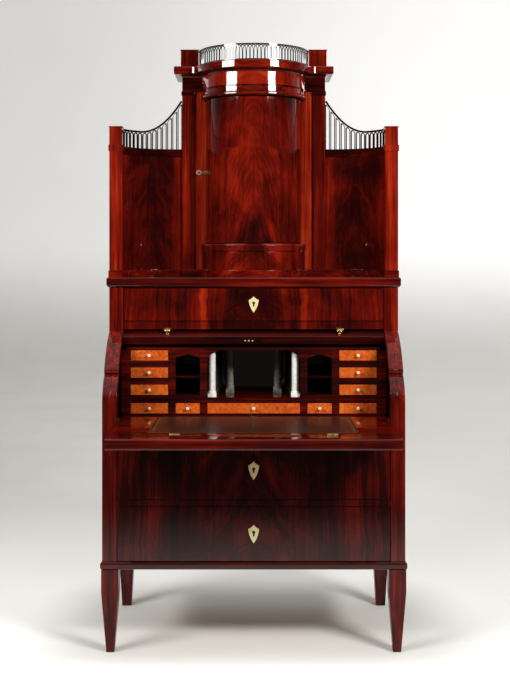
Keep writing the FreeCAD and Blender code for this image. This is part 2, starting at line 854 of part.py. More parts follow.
def column(x, s, z0, z1):
    """Small stone column: square plinth, round base, shaft, flared neck and square cap."""
    base = z0 + plinth_block_h
    neck = z1 - column_cap_h
    cap_foot = neck + column_base_h / 2
    top = cap_foot - base
    block, cap = [board(x - plinth_half, x + plinth_half, s - plinth_half, s + plinth_half, low, high)
                  for low, high in ((z0, base), (cap_foot, z1))]
    wide_r = column_r + column_ring_w
    shaft = turned(place(x, s, base), up, *corners(
        (0, 0), (wide_r, 0), (wide_r, column_base_h - column_ring_edge),
        (wide_r - column_ring_edge, column_base_h), (column_r, column_base_h),
        (column_r, neck - base), (wide_r, top), (0, top)))
    return block.fuse([shaft, cap]).removeSplitter()


def small_drawer(name, x0, x1, tier):
    foot = tier_foot(tier)
    z0 = foot + slide_gap
    z1 = foot + small_h - small_gap
    left = x0 + small_gap
    right = x1 - small_gap
    rear = interior_back - interior_back_t - small_behind
    wall_front = interior_front + small_front_t
    face = board(left, right, interior_front, wall_front, foot + small_gap, z1)
    side_top = z1 - small_gap
    in_left = left + small_side_t
    in_right = right - small_side_t
    sole = z0 + small_bottom_t
    walls = [board(left, in_left, wall_front, rear, z0, side_top),
             board(in_right, right, wall_front, rear, z0, side_top),
             board(in_left, in_right, rear - small_side_t, rear, sole, side_top),
             board(in_left, in_right, wall_front, rear, z0, sole)]
    flat_r = small_knob_r - small_knob_edge
    knob = turned(place((x0 + x1) / 2, interior_front, foot + small_h / 2), V(0, -1, 0), *corners(
        (0, 0), (small_knob_stem_r, 0), (small_knob_stem_r, small_knob_stem_h), (flat_r, small_knob_stem_h),
        (small_knob_r, small_knob_stem_h + small_knob_edge), (small_knob_r, small_knob_h - small_knob_edge),
        (flat_r, small_knob_h), (0, small_knob_h)))
    save(name, face, *walls, knob)


def small_drawers():
    for tier in range(stack_tier_count):
        small_drawer("left_drawer_%d" % (tier + 1), -stack_out, -stack_in, tier)
        small_drawer("right_drawer_%d" % (tier + 1), stack_in, stack_out, tier)
    small_drawer("left_inner_drawer", -pigeon_out, -pigeon_in, 0)
    small_drawer("right_inner_drawer", pigeon_in, pigeon_out, 0)
    small_drawer("centre_drawer", -niche_half, niche_half, 0)


# Upper case and deck

def upper_case():
    rail = board(-opening_half, opening_half, upper_front, upper_front + frieze_rail_t,
                 z_shoulder + frieze_rail_rise, z_frieze)
    dust = board(-inner_half, inner_half, upper_front + stile_depth, back_s, z_frieze - dust_t, z_frieze)
    tongue = board(-opening_half, opening_half, upper_front + frieze_rail_t, upper_front + stile_depth,
                   z_frieze - dust_t, z_frieze)
    guide = board(opening_half, inner_half, upper_front + stile_depth, back_s, z_frieze, z_frieze + guide_h)
    save("frieze_rail", rail, dust, tongue, *pairs(guide))
    half = case_half + deck_proud
    strips = mitred_moulding(half, upper_front - deck_proud, case_depth, deck_strip, z_deck, z_plinth,
                             deck_round_bottom, deck_round_top)
    inner = half - deck_strip
    panel = board(-inner, inner, upper_front - deck_proud + deck_strip, case_depth, z_deck, z_plinth)
    save("deck_moulding", *strips, panel)


# Cabinet top

def wing_prism(grow, z0, z1):
    """Elliptical prism of the concave wing, grown outwards from the face of the wing panel."""
    unit = Part.makeCylinder(1, 1)
    size = FreeCAD.Matrix()
    size.scale(wing_a + grow, wing_b + grow, z1 - z0)
    solid = unit.transformGeometry(size)
    solid.translate(place(centre_half, pillar_back, z0))
    return solid


def wing_shell(inside, outside, z0, z1):
    """Quarter of an elliptical wall between the pillar and the pilaster."""
    reach = max(wing_a, wing_b) + overrun
    wall = wing_prism(outside, z0, z1).cut(wing_prism(inside, z0 - overrun, z1 + overrun))
    return wall.common(board(centre_half, centre_half + reach, pillar_back, pillar_back + reach, z0, z1))


def wings():
    z_rail = z_wing_top - wing_rail_h
    panel = wing_shell(0, wing_t, z_cabinet, z_rail)
    rail = wing_shell(-wing_rail_proud, wing_t, z_rail, z_wing_top)
    save("wing_panels", *pairs(panel, rail))
    side_in = case_half - cabinet_side_t
    side = board(side_in, case_half, pillar_back, back_s, z_cabinet, z_wing_top)
    deck = board(centre_half, side_in, pillar_back, back_s, z_wing_top - wing_deck_t, z_wing_top)
    deck = deck.cut(wing_prism(wing_t + wing_fit, z_cabinet, z_wing_top + overrun))
    save("wing_boxes", *pairs(side, deck))


def pillars():
    z_band = z_wing_top - band_h
    z_cap = z_wing_top + block_h
    shaft = board(pillar_in, case_half, upper_front, pillar_back, z_cabinet, z_band)
    band = board(pillar_in - band_proud, case_half + band_proud, upper_front - band_proud, pillar_back,
                 z_band, z_wing_top)
    block = board(pillar_in, case_half, upper_front, pillar_back, z_wing_top, z_cap)
    cap = board(pillar_in - cap_proud, case_half + cap_proud, upper_front - cap_proud, pillar_back,
                z_cap, z_cap + cap_h)
    save("outer_pillars", *pairs(shaft, band, block, cap))

    z_neck = z_frieze_band - neck_h
    shaft = board(pilaster_in, centre_half, pilaster_front, pilaster_back, z_cabinet, z_neck)
    neck = board(pilaster_in, centre_half + band_proud, pilaster_front - band_proud, pilaster_back,
                 z_neck, z_frieze_band)
    stile = board(stile_in, pilaster_in, stile_front, stile_front + stile_t, z_cabinet, z_frieze_band)
    save("pilasters", *pairs(shaft, neck, stile))


def cabinet_plinth():
    front = upper_front - plinth_proud
    half = case_half + plinth_proud
    wing = board(centre_half, half, front, case_depth, z_plinth, z_cabinet)
    wing = wing.cut(board(centre_half, pillar_in - plinth_proud, front - overrun, pillar_back,
                          z_plinth, z_cabinet))
    wing = wing.cut(wing_prism(-plinth_proud, z_plinth, z_cabinet))
    centre = board(-centre_half, centre_half, pilaster_front - plinth_proud, case_depth, z_plinth, z_cabinet)
    centre = centre.fuse(half_disc(apron_rail_r, z_plinth, z_cabinet, round_s)).removeSplitter()
    save("cabinet_plinth", *pairs(wing), centre)


def cabinet_body():
    back = [board(-centre_half, centre_half, back_s, case_depth, z_cabinet, z_cornice)]
    back += pairs(board(centre_half, case_half, back_s, case_depth, z_cabinet, z_wing_top))
    save("cabinet_back", *back)

    side_in = centre_half - cabinet_side_t
    side = board(side_in, centre_half, pilaster_back, back_s, z_cabinet, z_frieze_band)
    stile_back = stile_front + stile_t
    boards = pairs(side)
    z_shelf = z_door + shelf_rise
    for z1, thick, clear in ((z_door, floor_t, slide_gap), (z_shelf, cabinet_shelf_t, shelf_clear)):
        z0 = z1 - thick
        shelf = board(-side_in, side_in, pilaster_back, back_s, z0, z1)
        shelf = shelf.fuse(board(-pilaster_in, pilaster_in, stile_back, pilaster_back, z0, z1))
        shelf = shelf.fuse(half_disc(stile_in - clear, z0, z1, stile_back))
        boards.append(shelf.removeSplitter())
    save("cabinet_boards", *boards)

    apron = half_ring(apron_r - apron_t, apron_r, z_cabinet, z_door - apron_rail_h, stile_front)
    rail = half_ring(stile_in, apron_rail_r, z_door - apron_rail_h, z_door, stile_front)
    rail = eased_front(rail, apron_rail_r, apron_rail_edge, (z_door, z_door - apron_rail_h))
    save("apron_panel", apron, rail)

    z_lip = z_architrave + architrave_lip_h
    lip = half_ring(stile_in, architrave_r, z_architrave, z_lip, stile_front)
    lip = eased_front(lip, architrave_r, architrave_edge, (z_architrave, z_lip))
    fascia = half_ring(stile_in, door_r + architrave_face_over, z_lip, z_frieze_band, stile_front)
    save("architrave", lip, fascia)

    outer = board(-centre_half, centre_half, pilaster_front, back_s, z_frieze_band, z_cornice)
    outer = outer.fuse(half_disc(frieze_r, z_frieze_band, z_cornice, round_s))
    room = board(frieze_t - centre_half, centre_half - frieze_t, pilaster_front + frieze_t, case_depth,
                 z_frieze_band, z_cornice)
    room = room.fuse(half_disc(frieze_r - frieze_t, z_frieze_band, z_cornice, pilaster_back))
    save("frieze_band", outer.cut(room).removeSplitter())
    save("cornice", *cornice())

    z_block = z_roof + corner_h
    block, cap = [board(corner_in - proud, corner_in + corner_w + proud,
                        corner_front - proud, corner_front + corner_w + proud, low, high)
                  for proud, low, high in ((0, z_roof, z_block),
                                           (corner_cap_proud, z_block, z_block + corner_cap_h))]
    save("corner_blocks", *pairs(block, cap))


def eased_front(ring, radius, edge_w, heights):
    """Takes off the outer edges of a half ring at the given heights."""
    found = []
    for edge in ring.Edges:
        box = edge.BoundBox
        foremost = abs(box.YMin - (front_y + round_s - radius)) < slide_gap
        if foremost and any(abs(box.ZMin - z) < slide_gap and box.ZLength < slide_gap for z in heights):
            found.append(edge)
    return ring.makeChamfer(edge_w, found)


def cornice_wire(proud, z):
    """Plan of the flat front, its two ends and the half round, grown outwards by proud.

    A hollow sweep joins the flat front to the half round.
    """
    half = centre_half + proud
    front = pilaster_front - proud
    radius = frieze_r + proud
    sweep = cornice_hollow_r + proud * cornice_hollow_share
    centre = V(math.sqrt((radius + sweep) ** 2 - (round_s - front + sweep) ** 2), front - sweep, 0)
    inwards = V(-centre.x, round_s - centre.y, 0).normalize()
    meet = centre + inwards * sweep
    middle = centre + (inwards + V(0, 1, 0)).normalize() * sweep
    return outline(lambda x, s: place(x, s, z), [(-half, case_depth)], [(-half, front)], [(-centre.x, front)],
                   [(-middle.x, middle.y), (-meet.x, meet.y)], [(0, round_s - radius), (meet.x, meet.y)],
                   [(middle.x, middle.y), (centre.x, front)], [(half, front)], [(half, case_depth)]).OuterWire


def cornice():
    """Hollow moulding and the corona above it."""
    hollow = []
    for step in range(cavetto_step_count + 1):
        turn = math.pi / 2 * step / cavetto_step_count
        proud = cavetto_proud * (1 - math.cos(turn))
        hollow.append(cornice_wire(proud, z_cornice + cavetto_h * math.sin(turn)))
    inset = corona_proud - corona_bead
    corona = [cornice_wire(inset, z_corona), cornice_wire(corona_proud, z_corona + corona_bead),
              cornice_wire(corona_proud, z_roof - corona_bead), cornice_wire(inset, z_roof)]
    return [Part.makeLoft(wires, True, True) for wires in (hollow, corona)]


# Cabinet door and key

def door():
    z0 = z_door + door_gap
    z1 = z_architrave - door_gap
    leaf = half_ring(door_r - door_t, door_r, z0, z1, door_edge)
    hole_r = door_pin_r + door_pin_gap
    for foot in (z0 - overrun, z1 - door_pin_h):
        leaf = leaf.cut(upright(hole_r, door_axis_x, door_axis_s, foot, foot + overrun + door_pin_h))
    turn = math.radians(key_angle)
    out = V(-math.cos(turn), -math.sin(turn), 0)
    key_z = z_door + key_rise
    centre = place(0, round_s, key_z)
    bore = Part.makeCylinder(key_hole_r, key_depth + overrun, centre + out * (door_r - key_depth), out)
    leaf = leaf.cut(bore)
    rose = Part.makeCylinder(escutcheon_r, escutcheon_t + door_t, centre + out * (door_r - door_t / 2), out)
    rose = rose.cut(half_disc(door_r + rose_gap, z0, z1, door_edge)).cut(bore)
    save("cabinet_door", leaf, rose)

    shank_end = door_r + key_reach
    shank = Part.makeCylinder(key_shank_r, key_reach + key_depth - slide_gap,
                              centre + out * (door_r - key_depth + slide_gap), out)
    bow = flat_ring(centre + out * (shank_end + key_bow_r - key_bow_w / 2), out.cross(up),
                    key_bow_r, key_bow_w, key_bow_t)
    save("door_key", shank.fuse(bow).removeSplitter())

    pivots = []
    for seat, way in ((z_door, 1), (z_architrave, -1)):
        plate_end = seat + way * pivot_plate_t
        plate = upright(pivot_plate_r, door_axis_x, door_axis_s, min(seat, plate_end), max(seat, plate_end))
        pin_end = seat + way * door_pin_h
        pin = upright(door_pin_r, door_axis_x, door_axis_s, min(plate_end, pin_end), max(plate_end, pin_end))
        pivots.append(plate.fuse(pin).removeSplitter())
    save("door_pivots", *pivots)


# Galleries

def gallery_bay(start, end, foot, heads, post_w, slit_w):
    """One flat bay of a pierced gallery between two plan points, with an arched opening.

    heads are the heights of its top edge at equal steps along the bay. A bay has a pointed arch,
    or a round one with half a slit at each of its ends.
    """
    (x0, s0), (n0x, n0s) = start
    (x1, s1), (n1x, n1s) = end
    half = gallery_t / 2
    low = min(heads)
    high = max(heads)
    bay = plan_prism(foot, high, *corners(
        (x0 + n0x * half, s0 + n0s * half), (x1 + n1x * half, s1 + n1s * half),
        (x1 - n1x * half, s1 - n1s * half), (x0 - n0x * half, s0 - n0s * half)))
    run = V(x1 - x0, s1 - s0, 0)
    length = run.Length
    run.normalize()
    face_way = V(-run.y, run.x, 0)

    def spot(along, z):
        point = place(x0 + run.x * along, s0 + run.y * along, z)
        return point - face_way * overrun

    thick = face_way * (2 * overrun)
    left = post_w / 2
    right = length - post_w / 2
    middle = length / 2
    reach = (right - left) / 2
    crown = low - gallery_head
    if not slit_w:
        spring = crown - reach * lancet_share
        rise = lancet_share * lancet_bulge_share
        top = [[(left + reach * (1 - lancet_bulge_share), spring + reach * rise), (middle, crown)],
               [(right - reach * (1 - lancet_bulge_share), spring + reach * rise), (right, spring)]]
    else:
        spring = crown - reach
        top = [[(middle, crown), (right, spring)]]
    sill = foot + gallery_foot
    hole = outline(spot, [(left, sill)], [(left, spring)], *top, [(right, sill)]).extrude(thick)
    bay = bay.cut(hole)
    for edge in (0, length) if slit_w else ():
        near, far = edge - slit_w / 2, edge + slit_w / 2
        slit = corners((near, sill), (near, spring), (edge, spring + slit_w), (far, spring), (far, sill))
        bay = bay.cut(outline(spot, *slit).extrude(thick))
    if high > low:
        steps = len(heads) - 1
        slope = [(length * i / steps, z) for i, z in enumerate(heads)]
        waste = outline(spot, *corners((-overrun, heads[0]), *slope, (length + overrun, heads[-1]),
                                       (length + overrun, high + overrun), (-overrun, high + overrun)))
        bay = bay.cut(waste.extrude(thick))
    return bay


def gallery(spots, heads, steps, foot, sections, *widths):
    """Bays of a few steps each between plan spots, joined into strips."""
    bays = [gallery_bay(spots[i], spots[i + steps], foot, heads[i:i + steps + 1], *widths)
            for i in range(0, len(spots) - 1, steps)]
    strips = []
    for part in range(sections):
        chosen = bays[part * len(bays) // sections:(part + 1) * len(bays) // sections]
        strips.append(chosen[0].fuse(chosen[1:]).removeSplitter())
    return strips


def gallery_rail(spots, heads):
    """Flat rail on top of a gallery."""
    half = gallery_rail_w / 2
    wires = []
    for ((x, s), (nx, ns)), z in zip(spots, heads):
        low = [(x - nx * half, s - ns * half, z), (x + nx * half, s + ns * half, z)]
        high = [(a, b, c + gallery_rail_h) for a, b, c in reversed(low)]
        points = [place(*point) for point in low + high]
        wires.append(Part.makePolygon(points + points[:1]))
    return Part.makeLoft(wires, True, True)


def wing_spots(count):
    """Plan points and normals at equal steps along the wing, from the pillar to the pilaster."""
    a = wing_a + wing_gallery_inset
    b = wing_b + wing_gallery_inset
    fine = spot_step_count * count
    turns = [math.pi / 2 * i / fine for i in range(fine + 1)]
    track = [(a * math.cos(turn), b * math.sin(turn)) for turn in turns]
    lengths = [0]
    for i in range(fine):
        lengths.append(lengths[-1] + math.dist(track[i], track[i + 1]))
    spots = []
    for i in range(count + 1):
        goal = lengths[-1] * i / count
        nearest = min(range(fine + 1), key=lambda k: abs(lengths[k] - goal))
        u, v = track[nearest]
        size = math.hypot(u / a ** 2, v / b ** 2)
        spots.append(((centre_half + u, pillar_back + v), (u / a ** 2 / size, v / b ** 2 / size)))
    return spots


def wing_head(x):
    """Height of the wing gallery: level beside the pillar, then swooping up to the pilaster."""
    along = (centre_half + wing_swoop_reach - x) / wing_swoop_reach
    rise = 0 if along <= 0 else wing_swoop_h * (1 - math.sqrt(max(0, 1 - min(1, along) ** 2)))
    return z_wing_top + wing_gallery_h + rise


def top_spots(count):
    spots = []
    for i in range(count + 1):
        turn = math.pi * i / count
        way = (-math.cos(turn), -math.sin(turn))
        spots.append(((way[0] * top_gallery_r, round_s + way[1] * top_gallery_r), way))
    return spots


def galleries():
    spots = wing_spots(wing_arch_count * rail_step_count)
    heads = [wing_head(spot[0][0]) for spot in spots]
    bays = gallery(spots, heads, rail_step_count, z_wing_top, wing_section_count, wing_post_w, wing_slit_w)
    save("wing_galleries", *pairs(*bays))
    seats = [head + gallery_seat_gap for head in heads]
    save("wing_gallery_rails", *pairs(gallery_rail(spots, seats)))
    spots = top_spots(top_arch_count)
    head = z_roof + top_gallery_h
    save("top_gallery", *gallery(spots, [head] * len(spots), 1, z_roof, top_section_count, top_post_w, 0))
    ring = half_ring(top_gallery_r - gallery_rail_w / 2, top_gallery_r + gallery_rail_w / 2,
                     head, head + gallery_rail_h, round_s)
    save("top_gallery_rail", ring)


legs()
base()
sides()
rails()
large_drawers()
slab()
cylinder()
interior()
small_drawers()
upper_case()
wings()
pillars()
cabinet_plinth()
cabinet_body()
door()
galleries()
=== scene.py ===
"""Looks of the cylinder desk: polished flame mahogany, burl, brass and pierced galleries."""
import json
import math

import bmesh
import bpy
from mathutils import Matrix, Vector


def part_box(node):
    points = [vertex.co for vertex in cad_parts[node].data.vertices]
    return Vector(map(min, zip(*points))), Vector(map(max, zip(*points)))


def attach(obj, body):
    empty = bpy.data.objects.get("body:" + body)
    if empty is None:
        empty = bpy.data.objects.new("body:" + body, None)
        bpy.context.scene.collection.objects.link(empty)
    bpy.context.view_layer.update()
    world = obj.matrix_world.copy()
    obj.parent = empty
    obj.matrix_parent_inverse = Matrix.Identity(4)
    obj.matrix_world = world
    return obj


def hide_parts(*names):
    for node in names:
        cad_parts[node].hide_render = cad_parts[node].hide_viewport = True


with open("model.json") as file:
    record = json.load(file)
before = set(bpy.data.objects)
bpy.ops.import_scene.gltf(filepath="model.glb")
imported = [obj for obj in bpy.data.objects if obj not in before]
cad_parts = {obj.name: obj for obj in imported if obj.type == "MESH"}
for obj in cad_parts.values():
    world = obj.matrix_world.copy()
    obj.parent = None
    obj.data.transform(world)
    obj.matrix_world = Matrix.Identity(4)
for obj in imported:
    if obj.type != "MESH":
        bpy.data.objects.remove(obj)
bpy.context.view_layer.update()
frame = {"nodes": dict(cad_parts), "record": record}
nodes = frame["nodes"]
bodies = frame["record"]["behaviour"]["bodies"]
body_of_node = {node: body for body, members in bodies.items() for node in members}

# Camera, from the photograph's 510 by 695 frame
FRAME_W = 510
FRAME_H = 695
HORIZON_PX = 247
CENTRE_PX = 253.7
FOCAL_PX = 1154
SENSOR = 36
EYE_HEIGHT = 1.367
EYE_DISTANCE = 3.88

# Places taken from the frame, in metres
MM = 0.001
CASE_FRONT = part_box("lower_drawer")[0].y
ROUND_R = 187 * MM
ROUND_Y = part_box("frieze_band")[0].y + ROUND_R


def rgb(red, green, blue):
    """Linear colour from display values of 0 to 255."""
    def linear(value):
        share = value / 255
        return share / 12.92 if share <= 0.04045 else ((share + 0.055) / 1.055) ** 2.4
    return (linear(red), linear(green), linear(blue), 1)


# Shader maths

class Value:
    """A socket of a node tree; arithmetic on it adds Math nodes."""

    def __init__(self, graph, socket):
        self.graph = graph
        self.socket = socket

    def math(self, operation, *others):
        return self.graph.node("ShaderNodeMath", {"operation": operation}, self, *others)

    def __add__(self, other):
        return self.math("ADD", other)

    def __sub__(self, other):
        return self.math("SUBTRACT", other)

    def __mul__(self, other):
        return self.math("MULTIPLY", other)

    def __rsub__(self, other):
        return self.graph.node("ShaderNodeMath", {"operation": "SUBTRACT"}, other, self)

    __radd__ = __add__
    __rmul__ = __mul__

    def __abs__(self):
        return self.math("ABSOLUTE")

    def over(self, low, high):
        """Goes from 0 to 1 as the value goes from low to high."""
        return self.graph.node("ShaderNodeMapRange", {"interpolation_type": "SMOOTHSTEP"},
                               self, low, high, 0, 1)

    def band(self, middle, half, soft):
        """1 within half of the middle, 0 beyond it."""
        return 1 - abs(self - middle).over(half, half + soft)


class Graph:
    """Node tree of a material or of the world, with its place coordinates."""

    def __init__(self, tree, coordinates):
        self.tree = tree
        self.place = self.node("ShaderNodeTexCoord", {}, output=coordinates)
        split = self.tree.nodes.new("ShaderNodeSeparateXYZ")
        self.tree.links.new(self.place.socket, split.inputs[0])
        self.x, self.y, self.z = (Value(self, socket) for socket in split.outputs)

    def put(self, socket, value):
        if isinstance(value, Value):
            self.tree.links.new(value.socket, socket)
        else:
            socket.default_value = value

    def node(self, kind, settings, *values, output=0, **named):
        """Adds a node: its settings first, then its sockets by order or by name."""
        made = self.tree.nodes.new(kind)
        for key, value in settings.items():
            if key == "stops":
                ramp = made.color_ramp.elements
                while len(ramp) < len(value):
                    ramp.new(1)
                for stop, (position, colour) in zip(ramp, value):
                    stop.position = position
                    stop.color = colour
            else:
                setattr(made, key, value)
        for socket, value in zip(made.inputs, values):
            self.put(socket, value)
        for key, value in named.items():
            self.put(made.inputs[key.replace("_", " ")], value)
        return Value(self, made.outputs[output])

    def vector(self, x, y, z):
        return self.node("ShaderNodeCombineXYZ", {}, x, y, z)

    def noise(self, vector, scale, detail=3, roughness=0.55, distortion=0.0):
        return self.node("ShaderNodeTexNoise", {}, Vector=vector, Scale=scale, Detail=detail,
                         Roughness=roughness, Distortion=distortion)

    def swing(self, vector, detail):
        """Noise about zero, spread to nearly -0.5 to 0.5."""
        return (self.noise(vector, 1, detail, 0.6, 0.3) - 0.5) * 1.5

    def cells(self, vector, scale, feature="F1"):
        return self.node("ShaderNodeTexVoronoi", {"feature": feature}, Vector=vector, Scale=scale)

    def ramp(self, value, *stops):
        return self.node("ShaderNodeValToRGB", {"stops": stops}, value)

    def mix(self, share, first, second):
        """Mixes two colours."""
        made = self.tree.nodes.new("ShaderNodeMix")
        made.data_type = "RGBA"
        for index, value in ((0, share), (6, first), (7, second)):
            self.put(made.inputs[index], value)
        return Value(self, made.outputs[2])

    def rays(self, kind):
        """1 for rays of a kind, such as Is Camera Ray."""
        return self.node("ShaderNodeLightPath", {}, output=kind)


class Finish(Graph):
    """One procedural material round a Principled shader."""

    def __init__(self, name, **settings):
        self.material = bpy.data.materials.new(name)
        self.material.use_nodes = True
        super().__init__(self.material.node_tree, "Object")
        self.shader = self.tree.nodes["Principled BSDF"]
        for socket, value in settings.items():
            self.shader.inputs[socket.replace("_", " ")].default_value = value

    def bump(self, height, strength, distance):
        normal = self.node("ShaderNodeBump", {}, Strength=strength, Distance=distance, Height=height)
        self.put(self.shader.inputs["Normal"], normal)

    def look(self, **values):
        for socket, value in values.items():
            self.put(self.shader.inputs[socket.replace("_", " ")], value)
        return self.material


# Woods

DARK = rgb(20, 4, 4)
DEEP = rgb(46, 7, 5)
RED = rgb(88, 13, 6)
GLOW = rgb(136, 29, 11)
AMBER = rgb(172, 56, 22)
POLISH = {"Roughness": 0.4, "Specular_IOR_Level": 0.0, "Coat_Weight": 1.0, "Coat_Roughness": 0.03,
          "Coat_IOR": 1.5}


def wood_finish(finish, tone, pores, brightness):
    """Colours a polished mahogany from a tone of 0 to 1 and its fine pores."""
    def lit(colour):
        return tuple(min(1, channel * brightness) for channel in colour[:3]) + (1,)
    colour = finish.ramp(tone, (0.12, lit(DARK)), (0.34, lit(DEEP)), (0.53, lit(RED)), (0.74, lit(GLOW)),
                         (0.95, lit(AMBER)))
    colour = finish.mix(pores * 0.5, colour, DARK)
    finish.bump(pores, 0.06, 0.0004)
    return finish.look(Base_Color=colour, Roughness=0.34 + tone * 0.1)


def grain_spot(finish, axis, slow, fast):
    """Place stretched along the grain, which runs along one axis."""
    scales = [fast, fast, fast]
    scales["xyz".index(axis)] = slow
    return finish.vector(finish.x * scales[0], finish.y * scales[1], finish.z * scales[2])


def mahogany(name, axis, lift=0.0, brightness=1.0, **polish):
    """Straight-grained mahogany with a soft ribbon along one axis."""
    finish = Finish(name, **dict(POLISH, **polish))
    ribbon = finish.swing(grain_spot(finish, axis, 1.1, 34), 4)
    thread = finish.swing(grain_spot(finish, axis, 3.5, 170), 3)
    cloud = finish.swing(grain_spot(finish, axis, 3.0, 7.0), 3)
    tone = ribbon * 0.5 + thread * 0.45 + cloud * 0.42 + (0.5 + lift)
    pores = finish.noise(grain_spot(finish, axis, 24, 520), 1, 2).over(0.6, 0.74)
    return wood_finish(finish, tone, pores, brightness)


def flame(name, root_z, plume_w, slope, seed, joint_x=0, lift=0.0, core=0.0, gloom=(1, 0.1, 0),
          heart=(0.1, 0), unrolled=None, seam_z=None):
    """Crotch-figured veneer, book-matched on an upright joint.

    Feathered lines fall outwards from the joint within plume_w of it, and straight grain lies beyond.
    core lifts the plume, gloom is a darker band beside it (middle, half width, depth) and heart a dark
    peak at the foot of the joint (height, depth). unrolled flattens a round panel, and seam_z starts
    another sheet.
    """
    finish = Finish(name, **POLISH)
    across = finish.x
    if unrolled:
        radius, middle_y = unrolled
        across = finish.x.math("ARCTAN2", middle_y - finish.y) * radius
    side = abs(across - joint_x)
    rise = finish.z - root_z
    sheet = rise
    if seam_z:
        sheet = rise + finish.z.over(seam_z, seam_z + 0.0006) * 2.37
    wander = finish.swing(finish.vector(side * 7, sheet * 5, seed), 4)
    line = side + wander * 0.022 + sheet * 0.04
    fall = sheet + side * slope + wander * 0.14
    grain = finish.swing(finish.vector(line * 130, sheet * 2.4, seed + 1), 4)
    bands = finish.swing(finish.vector(line * 24, sheet * 1.0, seed + 2), 3)
    feather = finish.swing(finish.vector(fall * 90, side * 8, seed + 3), 4)
    plumes = finish.swing(finish.vector(fall * 16, side * 4, seed + 4), 4)
    cloud = finish.swing(finish.vector(across * 8, sheet * 6, seed + 5), 4)
    inside = 1 - (side + wander * 0.06).over(plume_w * 0.5, plume_w * 1.2)
    straight = grain * 0.38 + bands * 0.4
    figured = grain * 0.22 + feather * 0.24 + plumes * 0.32
    beside = (side + wander * 0.05).band(gloom[0], gloom[1] * 0.5, gloom[1])
    peak = 1 - (side + rise + wander * 0.08).over(heart[0] * 0.5, heart[0] * 1.15)
    tone = straight + (figured - straight) * inside + cloud * 0.5 + inside * core + (0.5 + lift)
    tone = tone - beside * gloom[2] - peak * heart[1]
    pores = finish.noise(finish.vector(line * 420, sheet * 16, seed + 6), 1, 2).over(0.6, 0.75)
    return wood_finish(finish, tone, pores, 1.0)


def burl(name):
    """Burl veneer: swirled gold and orange with small dark eyes."""
    finish = Finish(name, Roughness=0.35, Coat_Weight=0.8, Coat_Roughness=0.06)
    swirl = finish.noise(finish.place, 38, 5, 0.62, 2.2)
    fine = finish.noise(finish.place, 150, 3, 0.6, 0.8)
    eyes = 1 - finish.cells(finish.place, 105).over(0.12, 0.3)
    patches = finish.noise(finish.place, 12, 2)
    tone = swirl * 0.62 + fine * 0.26 + patches * 0.3 - 0.1
    colour = finish.ramp(tone, (0.26, rgb(128, 40, 6)), (0.44, rgb(196, 78, 14)), (0.6, rgb(226, 110, 28)),
                         (0.8, rgb(244, 152, 62)))
    colour = finish.mix(eyes * patches.over(0.42, 0.62) * 0.75, colour, rgb(88, 28, 6))
    finish.bump(fine, 0.05, 0.0004)
    return finish.look(Base_Color=colour, Roughness=0.3 + fine * 0.12)


def plain_wood(name, axis, light, dark):
    """Unpolished wood of the drawer boxes and backs."""
    finish = Finish(name, Roughness=0.62)
    rings = finish.noise(grain_spot(finish, axis, 1.1, 22), 1, 4, 0.6, 0.4)
    fibre = finish.noise(grain_spot(finish, axis, 9, 420), 1, 2)
    tone = rings * 0.75 + fibre * 0.3
    colour = finish.ramp(tone, (0.3, dark), (0.72, light))
    finish.bump(fibre, 0.12, 0.0004)
    return finish.look(Base_Color=colour, Roughness=0.55 + fibre * 0.2)


# Metals, leather, glass, stone and bone

def metal(name, bright, dull, roughness, scale=90, sheen=1.0):
    """Metal with a light tarnish and fine rubbing marks."""
    finish = Finish(name, Metallic=sheen, Roughness=roughness)
    tarnish = finish.noise(finish.place, scale, 4, 0.6)
    rubbing = finish.noise(finish.place, scale * 9, 2)
    colour = finish.mix(tarnish.over(0.42, 0.72), bright, dull)
    finish.bump(rubbing, 0.08, 0.0002)
    return finish.look(Base_Color=colour, Roughness=roughness + tarnish * 0.14)


def leather(name, low, high):
    """Old brown hide with a tooled gold line inside its edge."""
    finish = Finish(name, Roughness=0.42, Coat_Weight=0.1, Coat_Roughness=0.2, Specular_IOR_Level=0.3)
    middle = (low + high) / 2
    half = (high - low) / 2
    from_side = half.x - abs(finish.x - middle.x)
    from_end = half.y - abs(finish.y - middle.y)
    edge = from_side.math("MINIMUM", from_end)
    line = edge.band(0.012, 0.0009, 0.0004).math("MAXIMUM", edge.band(0.0165, 0.0004, 0.0003))
    pebble = finish.cells(finish.place, 900, "DISTANCE_TO_EDGE").over(0.0, 0.22)
    blotch = finish.noise(finish.place, 14, 4)
    colour = finish.ramp(blotch, (0.3, rgb(28, 10, 6)), (0.7, rgb(58, 24, 15)))
    colour = finish.mix(line * 0.6, colour, rgb(128, 84, 44))
    finish.bump(pebble, 0.14, 0.0004)
    return finish.look(Base_Color=colour, Roughness=0.36 + blotch * 0.16)


def mirror(name):
    """Old silvered glass, a little grey, with a few clouded spots."""
    finish = Finish(name, Metallic=1.0, Roughness=0.03)
    cloud = finish.noise(finish.place, 26, 4, 0.65).over(0.6, 0.78)
    specks = 1 - finish.cells(finish.place, 160).over(0.05, 0.12)
    colour = finish.mix(cloud * 0.5, rgb(104, 102, 98), rgb(56, 52, 48))
    colour = finish.mix(specks * 0.5, colour, rgb(40, 34, 30))
    return finish.look(Base_Color=colour, Roughness=0.03 + cloud * 0.12)


